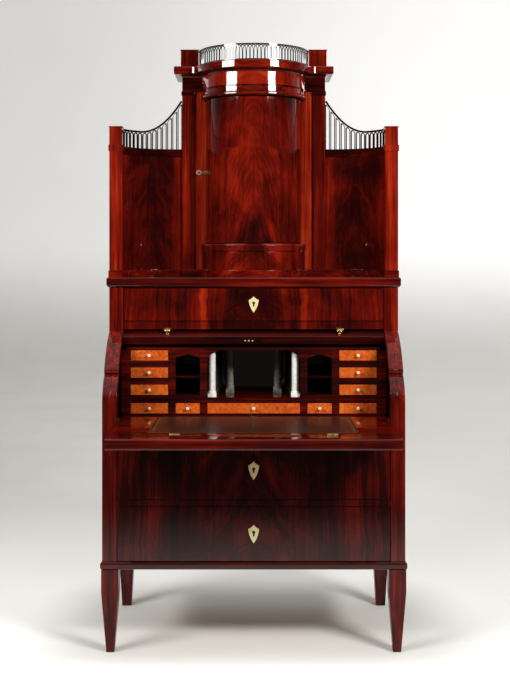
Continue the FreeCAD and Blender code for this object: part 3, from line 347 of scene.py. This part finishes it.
def stone(name, light=rgb(253, 252, 248), shade=rgb(240, 237, 228)):
    """Polished stone with faint warm veins."""
    finish = Finish(name, Roughness=0.28, Coat_Weight=0.4, Coat_Roughness=0.1)
    veins = finish.noise(finish.place, 30, 5, 0.6, 1.4).band(0.5, 0.02, 0.06)
    cloud = finish.noise(finish.place, 16, 3)
    colour = finish.ramp(cloud, (0.3, shade), (0.7, light))
    colour = finish.mix(veins * 0.3, colour, rgb(186, 172, 150))
    return finish.look(Base_Color=colour, Roughness=0.24 + cloud * 0.1)


def bone(name):
    """Turned bone with fine grey lines."""
    finish = Finish(name, Roughness=0.3, Coat_Weight=0.3, Coat_Roughness=0.12)
    lines = finish.noise(grain_spot(finish, "y", 60, 900), 1, 2)
    stain = finish.noise(finish.place, 120, 3)
    colour = finish.ramp(lines * 0.5 + stain * 0.5, (0.35, rgb(222, 196, 150)), (0.65, rgb(250, 236, 206)))
    return finish.look(Base_Color=colour, Roughness=0.26 + stain * 0.12)


def shadow_black(name):
    """Painted shade for the dark inside of a keyhole, with a faint mottle."""
    finish = Finish(name, Roughness=0.7)
    shade_mottle = finish.noise(finish.place, 300, 3)
    colour = finish.ramp(shade_mottle, (0.3, rgb(8, 6, 5)), (0.75, rgb(22, 16, 12)))
    return finish.look(Base_Color=colour, Roughness=0.6 + shade_mottle * 0.2)


# Finishes of this desk

WING_X = (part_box("wing_panels")[1].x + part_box("pilasters")[1].x) / 2
LEATHER_LOW, LEATHER_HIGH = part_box("reading_leather")
FRIEZE_GLEAM = (0.178, 0.012, -0.2)
DOOR_SEAM_Z = 1722 * MM


def foot_z(node):
    """Height of a node's lowest point."""
    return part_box(node)[0].z


upright = mahogany("mahogany_upright", "z")
level = mahogany("mahogany_level", "x")
bright_upright = mahogany("mahogany_bright_upright", "z", lift=0.09)
stile_upright = mahogany("mahogany_stile", "z", lift=0.3)
bright_level = mahogany("mahogany_bright_level", "x", lift=0.08)
dim_level = mahogany("mahogany_dim_level", "x", lift=-0.12)
dark_level = mahogany("mahogany_dark_level", "x", lift=-0.14, brightness=0.75)
leg_upright = mahogany("mahogany_leg", "z", lift=-0.04, brightness=0.95, Coat_Weight=0.5)
slab_level = mahogany("mahogany_slab", "x", lift=-0.03, Coat_Roughness=0.12)
dull_level = mahogany("mahogany_dull", "x", lift=-0.06, Coat_Weight=0.1, Coat_Roughness=0.4, Roughness=0.6)
# Darkened mahogany on the eased edges round the drawers and rails: painted shade of the gaps between them.
gap_shade_edge = mahogany("mahogany_gap_shade", "x", lift=-0.3, brightness=0.6, Coat_Weight=0.4)
round_unroll = (ROUND_R, ROUND_Y)
case_flame = flame("flame_case", foot_z("lower_drawer"), plume_w=0.2, slope=1.6, seed=3, lift=-0.13,
                   gloom=(0.245, 0.05, 0.13))
frieze_flame = flame("flame_frieze_drawer", foot_z("frieze_drawer"), plume_w=0.12, slope=0.9, seed=19,
                     core=-0.13, gloom=FRIEZE_GLEAM)
# The frieze drawer's figure carried onto its rail, made darker: painted shade on the rail.
rail_shade_flame = flame("flame_frieze_rail_shaded", foot_z("frieze_drawer"), plume_w=0.12, slope=0.9, seed=19,
                   lift=-0.09, core=-0.13, gloom=FRIEZE_GLEAM)
door_flame = flame("flame_door", foot_z("cabinet_door"), plume_w=0.13, slope=2.2, seed=27, lift=-0.03,
                   core=0.08, heart=(0.1, 0.25), unrolled=round_unroll, seam_z=DOOR_SEAM_Z)
apron_flame = flame("flame_apron", foot_z("apron_panel"), plume_w=0.14, slope=1.2, seed=35, lift=-0.02,
                    core=0.04, unrolled=round_unroll)
band_flame = flame("flame_frieze_band", foot_z("frieze_band"), plume_w=0.12, slope=1.4, seed=43, lift=0.17,
                   core=0.05, unrolled=round_unroll)
wing_flames = [flame("flame_wing_%d" % side, foot_z("wing_panels"), plume_w=0.075, slope=2.2, seed=51,
                     joint_x=side * WING_X, lift=-0.03, core=-0.1, gloom=(0.09, 0.02, -0.07))
               for side in (-1, 1)]
cylinder_flame = flame("flame_cylinder", foot_z("cylinder_shell"), plume_w=0.25, slope=2.0, seed=59,
                       lift=-0.1)
burl_front = burl("burl_front")
tray_wood = plain_wood("tray_wood", "y", rgb(150, 92, 52), rgb(108, 60, 32))
box_wood = plain_wood("box_wood", "y", rgb(190, 146, 96), rgb(150, 104, 62))
back_wood = plain_wood("back_wood", "z", rgb(140, 100, 64), rgb(98, 66, 40))
brass = metal("pale_brass", rgb(236, 204, 132), rgb(186, 142, 72), 0.2)
shield_brass = metal("shield_brass", rgb(255, 240, 188), rgb(246, 214, 132), 0.34, scale=60, sheen=0.3)
bronze = metal("dark_bronze", rgb(74, 44, 26), rgb(40, 22, 14), 0.4)
ebonised = mahogany("ebonised_mahogany", "z", lift=-0.3, brightness=0.7)
iron = metal("black_iron", rgb(74, 70, 68), rgb(48, 40, 36), 0.42)
steel = metal("key_steel", rgb(206, 202, 196), rgb(138, 130, 122), 0.22)
hide = leather("writing_leather", LEATHER_LOW, LEATHER_HIGH)
old_mirror = mirror("old_mirror")
alabaster = stone("white_alabaster")
# The rear columns are the same alabaster, darkened to grey: painted shade deep in the niche.
shaded_alabaster = stone("shaded_alabaster", rgb(120, 118, 112), rgb(92, 90, 86))
knob_bone = bone("knob_bone")
keyhole_shade = shadow_black("keyhole_shade")


# Pieces

EASE_LIMIT = math.radians(26)
FLAT_LIMIT = math.radians(0.2)
WELD = 0.002 * MM


def finished_mesh(name, bm, finishes):
    """Mesh object of a bmesh, smooth but for its creases."""
    mesh = bpy.data.meshes.new(name)
    bm.to_mesh(mesh)
    bm.free()
    for finish in finishes:
        mesh.materials.append(finish)
    mesh.shade_smooth()
    mesh.set_sharp_from_angle(angle=EASE_LIMIT)
    piece = bpy.data.objects.new(name, mesh)
    bpy.context.scene.collection.objects.link(piece)
    return piece


def islands(bm):
    """Groups of faces that hang together, one for each solid, in the same order on every run."""
    taken = set()
    for first in bm.faces[:]:
        if first in taken:
            continue
        taken.add(first)
        group = [first]
        for face in group:
            for edge in face.edges:
                for other in edge.link_faces if edge.is_manifold else ():
                    if other not in taken:
                        taken.add(other)
                        group.append(other)
        yield group


def reach(faces):
    """Lowest and highest corners of a group of faces."""
    spots = [vert.co for face in faces for vert in face.verts]
    low = Vector([min(spot[i] for spot in spots) for i in range(3)])
    high = Vector([max(spot[i] for spot in spots) for i in range(3)])
    return low, high


def eased(node, slot, ease, *finishes, choose=None, by_face=False, edge=-1):
    """Stands for a node: the same shape with its edges eased, and a finish for each of its solids.

    choose takes the lowest and highest corners of a solid, or of a face, and gives the number of its
    finish. edge is the number of the finish on its eased edges.
    """
    bm = bmesh.new()
    bm.from_mesh(nodes[node].data)
    bmesh.ops.remove_doubles(bm, verts=bm.verts[:], dist=WELD)
    for group in list(islands(bm)):
        bmesh.ops.split(bm, geom=group)
    if ease:
        bmesh.ops.dissolve_limit(bm, angle_limit=FLAT_LIMIT, verts=bm.verts[:], edges=bm.edges[:])
    for group in [[face] for face in bm.faces] if by_face else islands(bm):
        number = choose(*reach(group)) if choose else 0
        for face in group:
            face.material_index = number
    piece = finished_mesh(node + "_finished", bm, finishes)
    if ease:
        bevel = piece.modifiers.new("eased_edges", "BEVEL")
        bevel.width = ease * MM
        bevel.segments = 2
        bevel.limit_method = "ANGLE"
        bevel.angle_limit = EASE_LIMIT
        bevel.harden_normals = True
        bevel.miter_outer = "MITER_ARC"
        bevel.material = edge
    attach(piece, body_of_node[node])
    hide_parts(node)


def plain(node, finish):
    """Keeps a node's own mesh and gives it a finish."""
    materials = nodes[node].data.materials
    materials.clear()
    materials.append(finish)


def front_first(node):
    """Number 0 for the solid at the front of a drawer, 1 for its box."""
    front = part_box(node)[0].y + 2 * MM
    return lambda low, high: 0 if low.y < front else 1


for node, slot, ease, finish in (
        ("legs", "mahogany", 1.2, leg_upright),
        ("base_moulding", "mahogany", 0.8, dim_level),
        ("side_panels", "bright_mahogany", 1.5, upright),
        ("front_stiles", "bright_mahogany", 1.0, upright),
        ("writing_slab", "bright_mahogany", 0.7, slab_level),
        ("cylinder_shell", "flame_mahogany", 1.0, cylinder_flame),
        ("cylinder_rail", "mahogany", 1.0, dark_level),
        ("interior_case", "mahogany", 0.6, dim_level),
        ("interior_face", "mahogany", 0.6, dim_level),
        ("deck_moulding", "mahogany", 0, level),
        ("cabinet_plinth", "mahogany", 0.8, level),
        ("outer_pillars", "bright_mahogany", 0.8, bright_upright),
        ("apron_panel", "flame_mahogany", 0.8, apron_flame),
        ("architrave", "mahogany", 0.8, level),
        ("cornice", "mahogany", 0.8, level),
        ("corner_blocks", "mahogany", 0.8, upright),
        ("cylinder_arms", "iron", 0.6, iron),
        ("board_hinges", "brass", 0.3, brass),
        ("door_key", "steel", 0.2, steel)):
    eased(node, slot, ease, finish)

WING_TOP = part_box("wing_panels")[1].z
WING_RAIL_H = 28 * MM
NECK_H = 15 * MM
PILASTER_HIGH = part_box("pilasters")[1]
ROUND_REACH = 205 * MM
LOCK_MIN_W = 40 * MM
PANEL_MIN = 100 * MM
KNOB_MAX_W = 20 * MM
KNOB_MAX_DEPTH = 18 * MM
FRONT_MAX_T = 12 * MM
SMALL_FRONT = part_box("interior_face")[0].y + 3 * MM
COLUMN_LOW, COLUMN_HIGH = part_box("niche_columns")


def wing_choice(low, high):
    """Panel of the left or the right wing, or the rail on it."""
    if (low.z + high.z) / 2 > WING_TOP - WING_RAIL_H - 1 * MM:
        return 2
    return 0 if high.x < 0 else 1


def pilaster_choice(low, high):
    """Shaft, inner stile or neck of a pilaster."""
    if low.z > PILASTER_HIGH.z - 2 * NECK_H:
        return 2
    return 1 if high.z > PILASTER_HIGH.z - 1 * MM else 0


def band_choice(low, high):
    """Round of the frieze, or its square return over a pilaster."""
    return 1 if max(abs(low.x), abs(high.x)) > ROUND_REACH else 0


def box_choice(low, high):
    """Side of a wing box, or the deck on it."""
    return 1 if high.z - low.z < WING_RAIL_H else 0


def knob_choice(low, high):
    """Knob of the cylinder, or its lock plate."""
    return 1 if high.x - low.x > LOCK_MIN_W else 0


def column_choice(low, high):
    """Front column of the niche, or a rear one in grey painted shade."""
    return 1 if low.y > (COLUMN_LOW.y + COLUMN_HIGH.y) / 2 else 0


def door_choice(low, high):
    """Door, or the brass on it."""
    return 0 if high.z - low.z > PANEL_MIN else 1


def board_choice(low, high):
    """Reading board, or the brass on it."""
    return 0 if high.x - low.x > PANEL_MIN else 1


def small_choice(low, high):
    """Front, tray or knob of a small drawer."""
    depth = high.y - low.y
    width = high.x - low.x
    if depth < KNOB_MAX_DEPTH and width < KNOB_MAX_W:
        return 2
    return 0 if depth < FRONT_MAX_T and width > KNOB_MAX_W and low.y < SMALL_FRONT else 1


eased("wing_panels", "flame_mahogany", 0.8, *wing_flames, dark_level, choose=wing_choice, by_face=True)
eased("wing_boxes", "mahogany", 0.8, upright, dull_level, choose=box_choice)
eased("pilasters", "bright_mahogany", 0.8, upright, stile_upright, dark_level, choose=pilaster_choice)
eased("frieze_band", "flame_mahogany", 0.8, band_flame, dark_level, choose=band_choice, by_face=True)
eased("cylinder_knobs", "brass", 0.5, brass, bronze, choose=knob_choice)
eased("niche_columns", "alabaster", 0.4, alabaster, shaded_alabaster, choose=column_choice)
eased("frieze_rail", "mahogany", 0.8, rail_shade_flame, box_wood, gap_shade_edge, choose=front_first("frieze_rail"),
      edge=2)
eased("front_rails", "mahogany", 0.8, case_flame, gap_shade_edge, edge=1)
LARGE_DRAWERS = {"lower_drawer": case_flame, "upper_drawer": case_flame, "frieze_drawer": frieze_flame}
for node, finish in LARGE_DRAWERS.items():
    eased(node, "flame_mahogany", 1.6, finish, box_wood, gap_shade_edge, choose=front_first(node), edge=2)
    eased(node + "_escutcheon", "brass", 0.3, shield_brass)
eased("cabinet_door", "flame_mahogany", 0.8, door_flame, brass, choose=door_choice)
eased("reading_board", "mahogany", 0, bright_level, brass, choose=board_choice)
plain("reading_leather", hide)

small_drawers = [side + "_drawer_%d" % tier for tier in range(1, 5) for side in ("left", "right")]
small_drawers += ["left_inner_drawer", "right_inner_drawer", "centre_drawer"]
for node in small_drawers:
    eased(node, "burl", 0.5, burl_front, tray_wood, knob_bone, choose=small_choice)

for node, finish in (
        ("bottom_board", back_wood), ("lower_back", back_wood), ("drawer_runners", box_wood),
        ("pivot_brackets", iron), ("interior_partitions", dim_level), ("niche_mirrors", old_mirror),
        ("cabinet_back", back_wood), ("cabinet_boards", dim_level), ("door_pivots", iron),
        ("top_gallery_rail", ebonised)):
    plain(node, finish)


# Galleries: hoops of thin strip under a rail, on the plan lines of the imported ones

HOOP_T = 3 * MM
WING_HOOP_COUNT = 15
WING_HOOP_W = 17.2 * MM
WING_BAND = 3.6 * MM
WING_DROP_SHARE = 0.15
WING_LEVEL = 57 * MM
SWOOP_REACH = 153 * MM
SWOOP_H = 120 * MM
WING_RAIL_W = 7 * MM
WING_RAIL_T = 7 * MM
TOP_HOOP_COUNT = 47
TOP_BAND = 2.1 * MM
TOP_FOOT_H = 4 * MM
TOP_STRETCH = 1.5
TOP_GAP = 0.2 * MM
TOP_THICK_SHARES = (0.7, 0.5)
ROUND_TOP_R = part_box("top_gallery")[1].x - 0.7 * MM
ARCH_STEPS = 8
RAIL_STEPS = 48
ROUND_STEPS = 96
CURVE_STEPS = 900
NUDGE = 0.001

GALLERY_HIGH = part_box("wing_galleries")[1]
SWOOP_X = PILASTER_HIGH.x - 3 * MM
SWEEP_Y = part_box("wing_panels")[0].y
SWEEP_A = GALLERY_HIGH.x - SWOOP_X
SWEEP_B = GALLERY_HIGH.y - SWEEP_Y


def new_verts(made):
    return [item for item in made if isinstance(item, bmesh.types.BMVert)]


def new_edges(made):
    return [item for item in made if isinstance(item, bmesh.types.BMEdge)]


def closed(bm, ring):
    """Edges round a ring of vertices."""
    return [bm.edges.new((ring[i - 1], ring[i])) for i in range(len(ring))]


def hoop(bm, width, band, thick, foot, head, stretch, tilt):
    """Adds an arched hoop on the XZ plane and gives its vertices; tilt slopes its arch."""
    half = width / 2
    inner = half - band
    back = thick / 2
    spring = head - half * stretch
    corners = ((-half, -back), (-inner, -back), (-inner, back), (-half, back))
    ring = [bm.verts.new((x, y, foot)) for x, y in corners]
    edges = closed(bm, ring)
    bm.faces.new(ring)
    every = list(ring)
    made = bmesh.ops.extrude_edge_only(bm, edges=edges)["geom"]
    every += new_verts(made)
    bmesh.ops.translate(bm, verts=new_verts(made), vec=(0, 0, spring - foot))
    before = set(bm.verts)
    last = bmesh.ops.spin(bm, geom=new_edges(made), cent=(0, 0, spring), axis=(0, 1, 0), angle=math.pi,
                          steps=ARCH_STEPS, use_merge=False)["geom_last"]
    every += [vert for vert in bm.verts if vert not in before]
    made = bmesh.ops.extrude_edge_only(bm, edges=new_edges(last))["geom"]
    every += new_verts(made)
    bmesh.ops.translate(bm, verts=new_verts(made), vec=(0, 0, foot - spring))
    bmesh.ops.contextual_create(bm, geom=new_edges(made))
    for vert in every:
        if vert.co.z > spring - 0.1 * MM:
            vert.co.z = spring + (vert.co.z - spring) * stretch + vert.co.x * tilt
    return every


def even_spots(curve, count):
    """Places at the middle of equal lengths of a plan curve, with the curve's direction there."""
    fine = [curve(i / CURVE_STEPS) for i in range(CURVE_STEPS + 1)]
    lengths = [0]
    for one, other in zip(fine, fine[1:]):
        lengths.append(lengths[-1] + (other - one).length)
    spots = []
    for i in range(count):
        goal = lengths[-1] * (i + 0.5) / count
        k = next(k for k, length in enumerate(lengths) if length >= goal)
        spots.append((fine[k], (fine[k] - fine[k - 1]).normalized()))
    return spots


def wing_curve(share):
    """Plan curve of the right wing, from the pillar to the pilaster's back."""
    turn = share * math.pi / 2
    return Vector((SWOOP_X + SWEEP_A * math.cos(turn), SWEEP_Y + SWEEP_B * math.sin(turn), 0))


def top_curve(share):
    """Plan curve of the half round on top, from left to right."""
    turn = share * math.pi
    return Vector((-ROUND_TOP_R * math.cos(turn), ROUND_Y - ROUND_TOP_R * math.sin(turn), 0))


def heading(curve, share):
    """Direction of a plan curve."""
    return (curve(share + NUDGE) - curve(share - NUDGE)).normalized()


def wing_head(x):
    """Height of the wing's rail, level by the pillar and swooping up to the pilaster."""
    along = max(0, SWOOP_X + SWOOP_REACH - x) / SWOOP_REACH
    return WING_TOP + WING_LEVEL + SWOOP_H * along ** 2


def wing_slope(x, way):
    """Rise of the wing's rail along a plan direction."""
    return (wing_head(x + way.x * NUDGE) - wing_head(x)) / NUDGE


def stand(bm, verts, spot, way):
    """Turns a hoop from the XZ plane to a plan direction and moves it to its spot."""
    turn = Matrix.Rotation(math.atan2(way.y, way.x), 4, "Z")
    bmesh.ops.transform(bm, matrix=Matrix.Translation(spot) @ turn, verts=verts)


def both_sides(bm):
    """Adds the left side's copy of what stands on the right."""
    copied = bmesh.ops.duplicate(bm, geom=bm.verts[:] + bm.edges[:] + bm.faces[:])["geom"]
    bmesh.ops.scale(bm, verts=new_verts(copied), vec=(-1, 1, 1))


def gallery_piece(name, bm, node):
    bmesh.ops.recalc_face_normals(bm, faces=bm.faces[:])
    piece = finished_mesh(name, bm, [ebonised])
    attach(piece, body_of_node[node])
    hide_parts(node)


def round_strip(bm, section, turn, steps):
    """Sweeps a closed section round the front of the cabinet."""
    edges = closed(bm, section)
    bm.faces.new(section)
    last = bmesh.ops.spin(bm, geom=edges, cent=(0, ROUND_Y, 0), axis=(0, 0, 1), angle=-turn, steps=steps,
                          use_merge=False)["geom_last"]
    bmesh.ops.contextual_create(bm, geom=new_edges(last))


def wing_hoops():
    bm = bmesh.new()
    for spot, way in even_spots(wing_curve, WING_HOOP_COUNT):
        slope = wing_slope(spot.x, way)
        head = wing_head(spot.x) - WING_DROP_SHARE * WING_HOOP_W / 2 * abs(slope)
        verts = hoop(bm, WING_HOOP_W, WING_BAND, HOOP_T, WING_TOP, head, stretch=1, tilt=slope)
        stand(bm, verts, spot, way)
    both_sides(bm)
    gallery_piece("wing_hoops", bm, "wing_galleries")


def wing_rails():
    bm = bmesh.new()
    edges = None
    for i in range(RAIL_STEPS + 1):
        spot = wing_curve(i / RAIL_STEPS)
        way = heading(wing_curve, i / RAIL_STEPS)
        slope = wing_slope(spot.x, way)
        out = Vector((way.y, -way.x, 0)) * WING_RAIL_W / 2
        up = Vector((-way.x * slope, -way.y * slope, 1)).normalized() * WING_RAIL_T
        foot = spot + Vector((0, 0, wing_head(spot.x)))
        places = [foot - out, foot + out, foot + out + up, foot - out + up]
        if edges is None:
            ring = [bm.verts.new(place) for place in places]
            edges = closed(bm, ring)
            bm.faces.new(ring)
        else:
            made = bmesh.ops.extrude_edge_only(bm, edges=edges)["geom"]
            was = [vert.co.copy() for vert in ring]
            ring = [min(new_verts(made), key=lambda vert: (vert.co - old).length) for old in was]
            edges = new_edges(made)
            for vert, place in zip(ring, places):
                vert.co = place
    bm.faces.new(ring)
    both_sides(bm)
    gallery_piece("wing_swoop_rails", bm, "wing_gallery_rails")


def top_hoops():
    bm = bmesh.new()
    low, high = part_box("top_gallery")
    width = math.pi * ROUND_TOP_R / (TOP_HOOP_COUNT + 1) * 2 - TOP_GAP
    for i in range(TOP_HOOP_COUNT):
        share = (i + 1) / (TOP_HOOP_COUNT + 1)
        thick = HOOP_T * TOP_THICK_SHARES[i % 2]
        verts = hoop(bm, width, TOP_BAND, thick, low.z, high.z, stretch=TOP_STRETCH, tilt=0)
        stand(bm, verts, top_curve(share), heading(top_curve, share))
    half = HOOP_T / 2
    spots = ((-half, 0), (half, 0), (half, TOP_FOOT_H), (-half, TOP_FOOT_H))
    section = [bm.verts.new((ROUND_TOP_R + x, ROUND_Y, low.z + z)) for x, z in spots]
    round_strip(bm, section, math.pi, ROUND_STEPS)
    gallery_piece("top_hoops", bm, "top_gallery")


wing_hoops()
wing_rails()
top_hoops()


# Small trim: a dark bead under the frieze as painted shadow of its step, dark plugs as painted shade in
# the keyholes, and the studs of the cylinder's lock

KEYHOLE_R_SHARE = 0.09
KEYHOLE_FIT = 0.96
KEYHOLE_SLOT_SHARE = 0.21
KEYHOLE_LAP_SHARE = 0.3
KEYHOLE_STEP = 0.05 * MM
KEYHOLE_DEPTH = 0.5 * MM
STUD_R = 3.4 * MM
STUD_FLAT = 0.15
STUD_SPACING = 13 * MM
STUD_X = -17 * MM
LOCK_INSET = 5 * MM
LOCK_Z = 1037.8 * MM
LOCK_FACING = Vector((0, -0.877, -0.48))
BEAD_R = 3 * MM
BEAD_PROUD = 1.6 * MM
BEAD_STEPS = 64


def trim_piece(name, bm, body, finish):
    bmesh.ops.remove_doubles(bm, verts=bm.verts[:], dist=WELD)
    bmesh.ops.recalc_face_normals(bm, faces=bm.faces[:])
    piece = finished_mesh(name, bm, [finish])
    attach(piece, body)


def frieze_shade_bead():
    """Dark round bead in the step between the frieze and the architrave: painted shadow under that step.
    """
    path_r = ROUND_R + BEAD_PROUD
    inset = math.asin((ROUND_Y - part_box("architrave")[1].y) / path_r)
    bm = bmesh.new()
    section = bmesh.ops.create_circle(bm, segments=10, radius=BEAD_R)["verts"]
    bmesh.ops.delete(bm, geom=bm.edges[:], context="EDGES_FACES")
    bmesh.ops.rotate(bm, verts=section, matrix=Matrix.Rotation(math.pi / 2, 3, "X"))
    bmesh.ops.translate(bm, verts=section, vec=(path_r, 0, 0))
    bmesh.ops.rotate(bm, verts=section, matrix=Matrix.Rotation(-inset, 3, "Z"))
    bmesh.ops.translate(bm, verts=section, vec=(0, ROUND_Y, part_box("architrave")[1].z + BEAD_R / 2))
    round_strip(bm, section, math.pi - 2 * inset, BEAD_STEPS)
    trim_piece("frieze_shade_bead", bm, body_of_node["architrave"], ebonised)


def keyholes():
    """Dark plug in the keyhole of each shield: painted shade of the hole behind it."""
    for node in LARGE_DRAWERS:
        low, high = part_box(node + "_escutcheon")
        tall = high.z - low.z
        hole_r = tall * KEYHOLE_R_SHARE * KEYHOLE_FIT
        middle = (low.z + high.z) / 2 + tall * KEYHOLE_R_SHARE
        bm = bmesh.new()
        bmesh.ops.create_circle(bm, cap_ends=True, segments=20, radius=hole_r)
        half = hole_r / 2
        head = KEYHOLE_LAP_SHARE * hole_r
        tip = -tall * KEYHOLE_SLOT_SHARE
        slot_spots = ((-half, head), (half, head), (half, tip), (-half, tip))
        bm.faces.new([bm.verts.new((x, y, KEYHOLE_STEP)) for x, y in slot_spots])
        made = bmesh.ops.extrude_face_region(bm, geom=bm.faces[:])["geom"]
        bmesh.ops.translate(bm, verts=new_verts(made), vec=(0, 0, KEYHOLE_DEPTH))
        bmesh.ops.rotate(bm, verts=bm.verts[:], matrix=Matrix.Rotation(math.pi / 2, 3, "X"))
        bmesh.ops.translate(bm, verts=bm.verts[:], vec=(0, high.y, middle))
        trim_piece(node + "_keyhole", bm, body_of_node[node], keyhole_shade)


def lock_studs():
    """Three flat brass studs on the lock plate of the cylinder, left of the middle."""
    seat_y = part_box("cylinder_rail")[0].y + LOCK_INSET
    turn = LOCK_FACING.to_track_quat("Z", "Y").to_matrix().to_4x4()
    flat = turn @ Matrix.Diagonal((1, 1, STUD_FLAT, 1))
    bm = bmesh.new()
    for i in (-1, 0, 1):
        stud = bmesh.ops.create_uvsphere(bm, u_segments=14, v_segments=8, radius=STUD_R, matrix=flat)
        bmesh.ops.translate(bm, verts=stud["verts"], vec=(STUD_X + i * STUD_SPACING, seat_y, LOCK_Z))
    trim_piece("lock_studs", bm, body_of_node["cylinder_rail"], shield_brass)


frieze_shade_bead()
keyholes()
lock_studs()


# Stage, camera and light

STAGE_HALF_W = 16
STAGE_FRONT = -14
WALL_Y = 9
WALL_H = 8
COVE_R = 2.5
COVE_STEPS = 16
STAND_HALF_W = 0.5
STAND_HALF_DEPTH = 0.3
STAND_MIDDLE_Y = 0.16
LAMP_SPREAD = math.radians(110)
LAMP_AIM = Vector((0, 0, 1.5))
WORLD_PALE = rgb(205, 206, 206)
WORLD_DIM = rgb(24, 23, 22)
WORLD_SEEN = rgb(236, 235, 232)


def stage_material():
    """Pale paper near the desk and behind it, darker boards towards the camera.

    The paper glows a little for the camera, in reflections and on the back of the desk, as a lit
    backdrop does, and not where the desk stands.
    """
    finish = Finish("pale_floor", Roughness=0.85, Specular_IOR_Level=0.2, Emission_Strength=1)
    tint = finish.noise(finish.place, 1.4, 3)
    paper = finish.ramp(tint, (0.3, rgb(236, 233, 225)), (0.7, rgb(243, 241, 235)))
    rightwards = finish.x.over(-2.9, 2.9)
    high = finish.z.over(0.15, 1.5)
    near = 1 - finish.y.over(0.4, 2.2)
    bounced = finish.rays("Is Glossy Ray") + finish.rays("Is Diffuse Ray") * 0.5
    seen = finish.rays("Is Camera Ray") + bounced * finish.y.over(0.2, 0.8)
    # Painted light on the paper: brighter to the right, and on the floor growing away from the desk's
    # footprint and in front of it, which washes out the lamps' shadows beside the desk and keeps the shade
    # beneath it.
    beside = (abs(finish.x) - STAND_HALF_W).math("MAXIMUM", 0)
    before = (abs(finish.y - STAND_MIDDLE_Y) - STAND_HALF_DEPTH).math("MAXIMUM", 0)
    away = (beside * beside + before * before).math("SQRT").over(0.0, 0.36)
    low = (0.08 + rightwards * 0.13 + near * (0.22 - rightwards * 0.16)) * away
    far = abs(finish.x).over(0.9, 2.4)
    ahead = ((0 - finish.y).over(0.05, 0.5) * (1 - far) + (0 - finish.y).over(-2.5, 3) * far) * 0.62
    glow = (high * (0.42 + rightwards * 0.34) + (1 - high) * (low + ahead)) * seen
    return finish.look(Base_Color=finish.mix(finish.y.over(-2.4, -0.9), rgb(72, 70, 68), paper),
                       Emission_Color=finish.mix(glow, rgb(0, 0, 0), rgb(255, 255, 255)))


def backdrop():
    """Floor that sweeps up into a wall behind the desk."""
    bm = bmesh.new()
    cove_y = WALL_Y - COVE_R
    front = bm.edges.new([bm.verts.new((x, STAGE_FRONT, 0)) for x in (-STAGE_HALF_W, STAGE_HALF_W)])
    made = bmesh.ops.extrude_edge_only(bm, edges=[front])["geom"]
    bmesh.ops.translate(bm, verts=new_verts(made), vec=(0, cove_y - STAGE_FRONT, 0))
    bmesh.ops.spin(bm, geom=new_edges(made), cent=(0, cove_y, COVE_R), axis=(1, 0, 0), angle=math.pi / 2,
                   steps=COVE_STEPS, use_merge=False)
    top = [e for e in bm.edges if e.is_boundary and min(v.co.y for v in e.verts) > WALL_Y - 1 * MM]
    made = bmesh.ops.extrude_edge_only(bm, edges=top)["geom"]
    bmesh.ops.translate(bm, verts=new_verts(made), vec=(0, 0, WALL_H))
    bmesh.ops.recalc_face_normals(bm, faces=bm.faces[:])
    sheet = finished_mesh("backdrop", bm, [stage_material()])


def softbox(name, azimuth, distance, height, width, tall, power):
    """Soft light, aimed at the middle of the desk."""
    light = bpy.data.lights.new(name, "AREA")
    light.shape = "RECTANGLE"
    light.size = width
    light.size_y = tall
    light.energy = power
    light.spread = LAMP_SPREAD
    lamp = bpy.data.objects.new(name, light)
    turn = math.radians(azimuth)
    lamp.location = (distance * math.sin(turn), -distance * math.cos(turn), height)
    aim = LAMP_AIM - lamp.location
    lamp.rotation_euler = aim.to_track_quat("-Z", "Y").to_euler()
    bpy.context.scene.collection.objects.link(lamp)


def world_light():
    """Pale studio, dim in front of the desk, and pale to the camera on every side."""
    world = bpy.data.worlds.new("studio")
    bpy.context.scene.world = world
    world.use_nodes = True
    sky = Graph(world.node_tree, "Generated")
    dim = (1 - sky.y.over(-0.1, 0.7)) * (1 - sky.z.over(0.35, 0.85))
    light = sky.mix(dim, WORLD_PALE, WORLD_DIM)
    ground = sky.tree.nodes["Background"]
    sky.put(ground.inputs["Color"], sky.mix(sky.rays("Is Camera Ray"), light, WORLD_SEEN))
    ground.inputs["Strength"].default_value = 1


backdrop()
softbox("left_softbox", azimuth=-53, distance=3.1, height=2.62, width=1.45, tall=0.6, power=34.5)
softbox("right_softbox", azimuth=43, distance=3.1, height=2.62, width=0.95, tall=0.6, power=42)
world_light()

camera_data = bpy.data.cameras.new("camera")
camera_data.sensor_width = SENSOR
camera_data.lens = FOCAL_PX / FRAME_H * SENSOR
camera_data.shift_x = (FRAME_W / 2 - CENTRE_PX) / FRAME_H
camera_data.shift_y = -(FRAME_H / 2 - HORIZON_PX) / FRAME_H
camera = bpy.data.objects.new("camera", camera_data)
camera.location = (0, CASE_FRONT - EYE_DISTANCE, EYE_HEIGHT)
camera.rotation_euler = (math.pi / 2, 0, 0)
bpy.context.scene.collection.objects.link(camera)
bpy.context.scene.camera = camera
bpy.context.scene.view_settings.view_transform = "Standard"
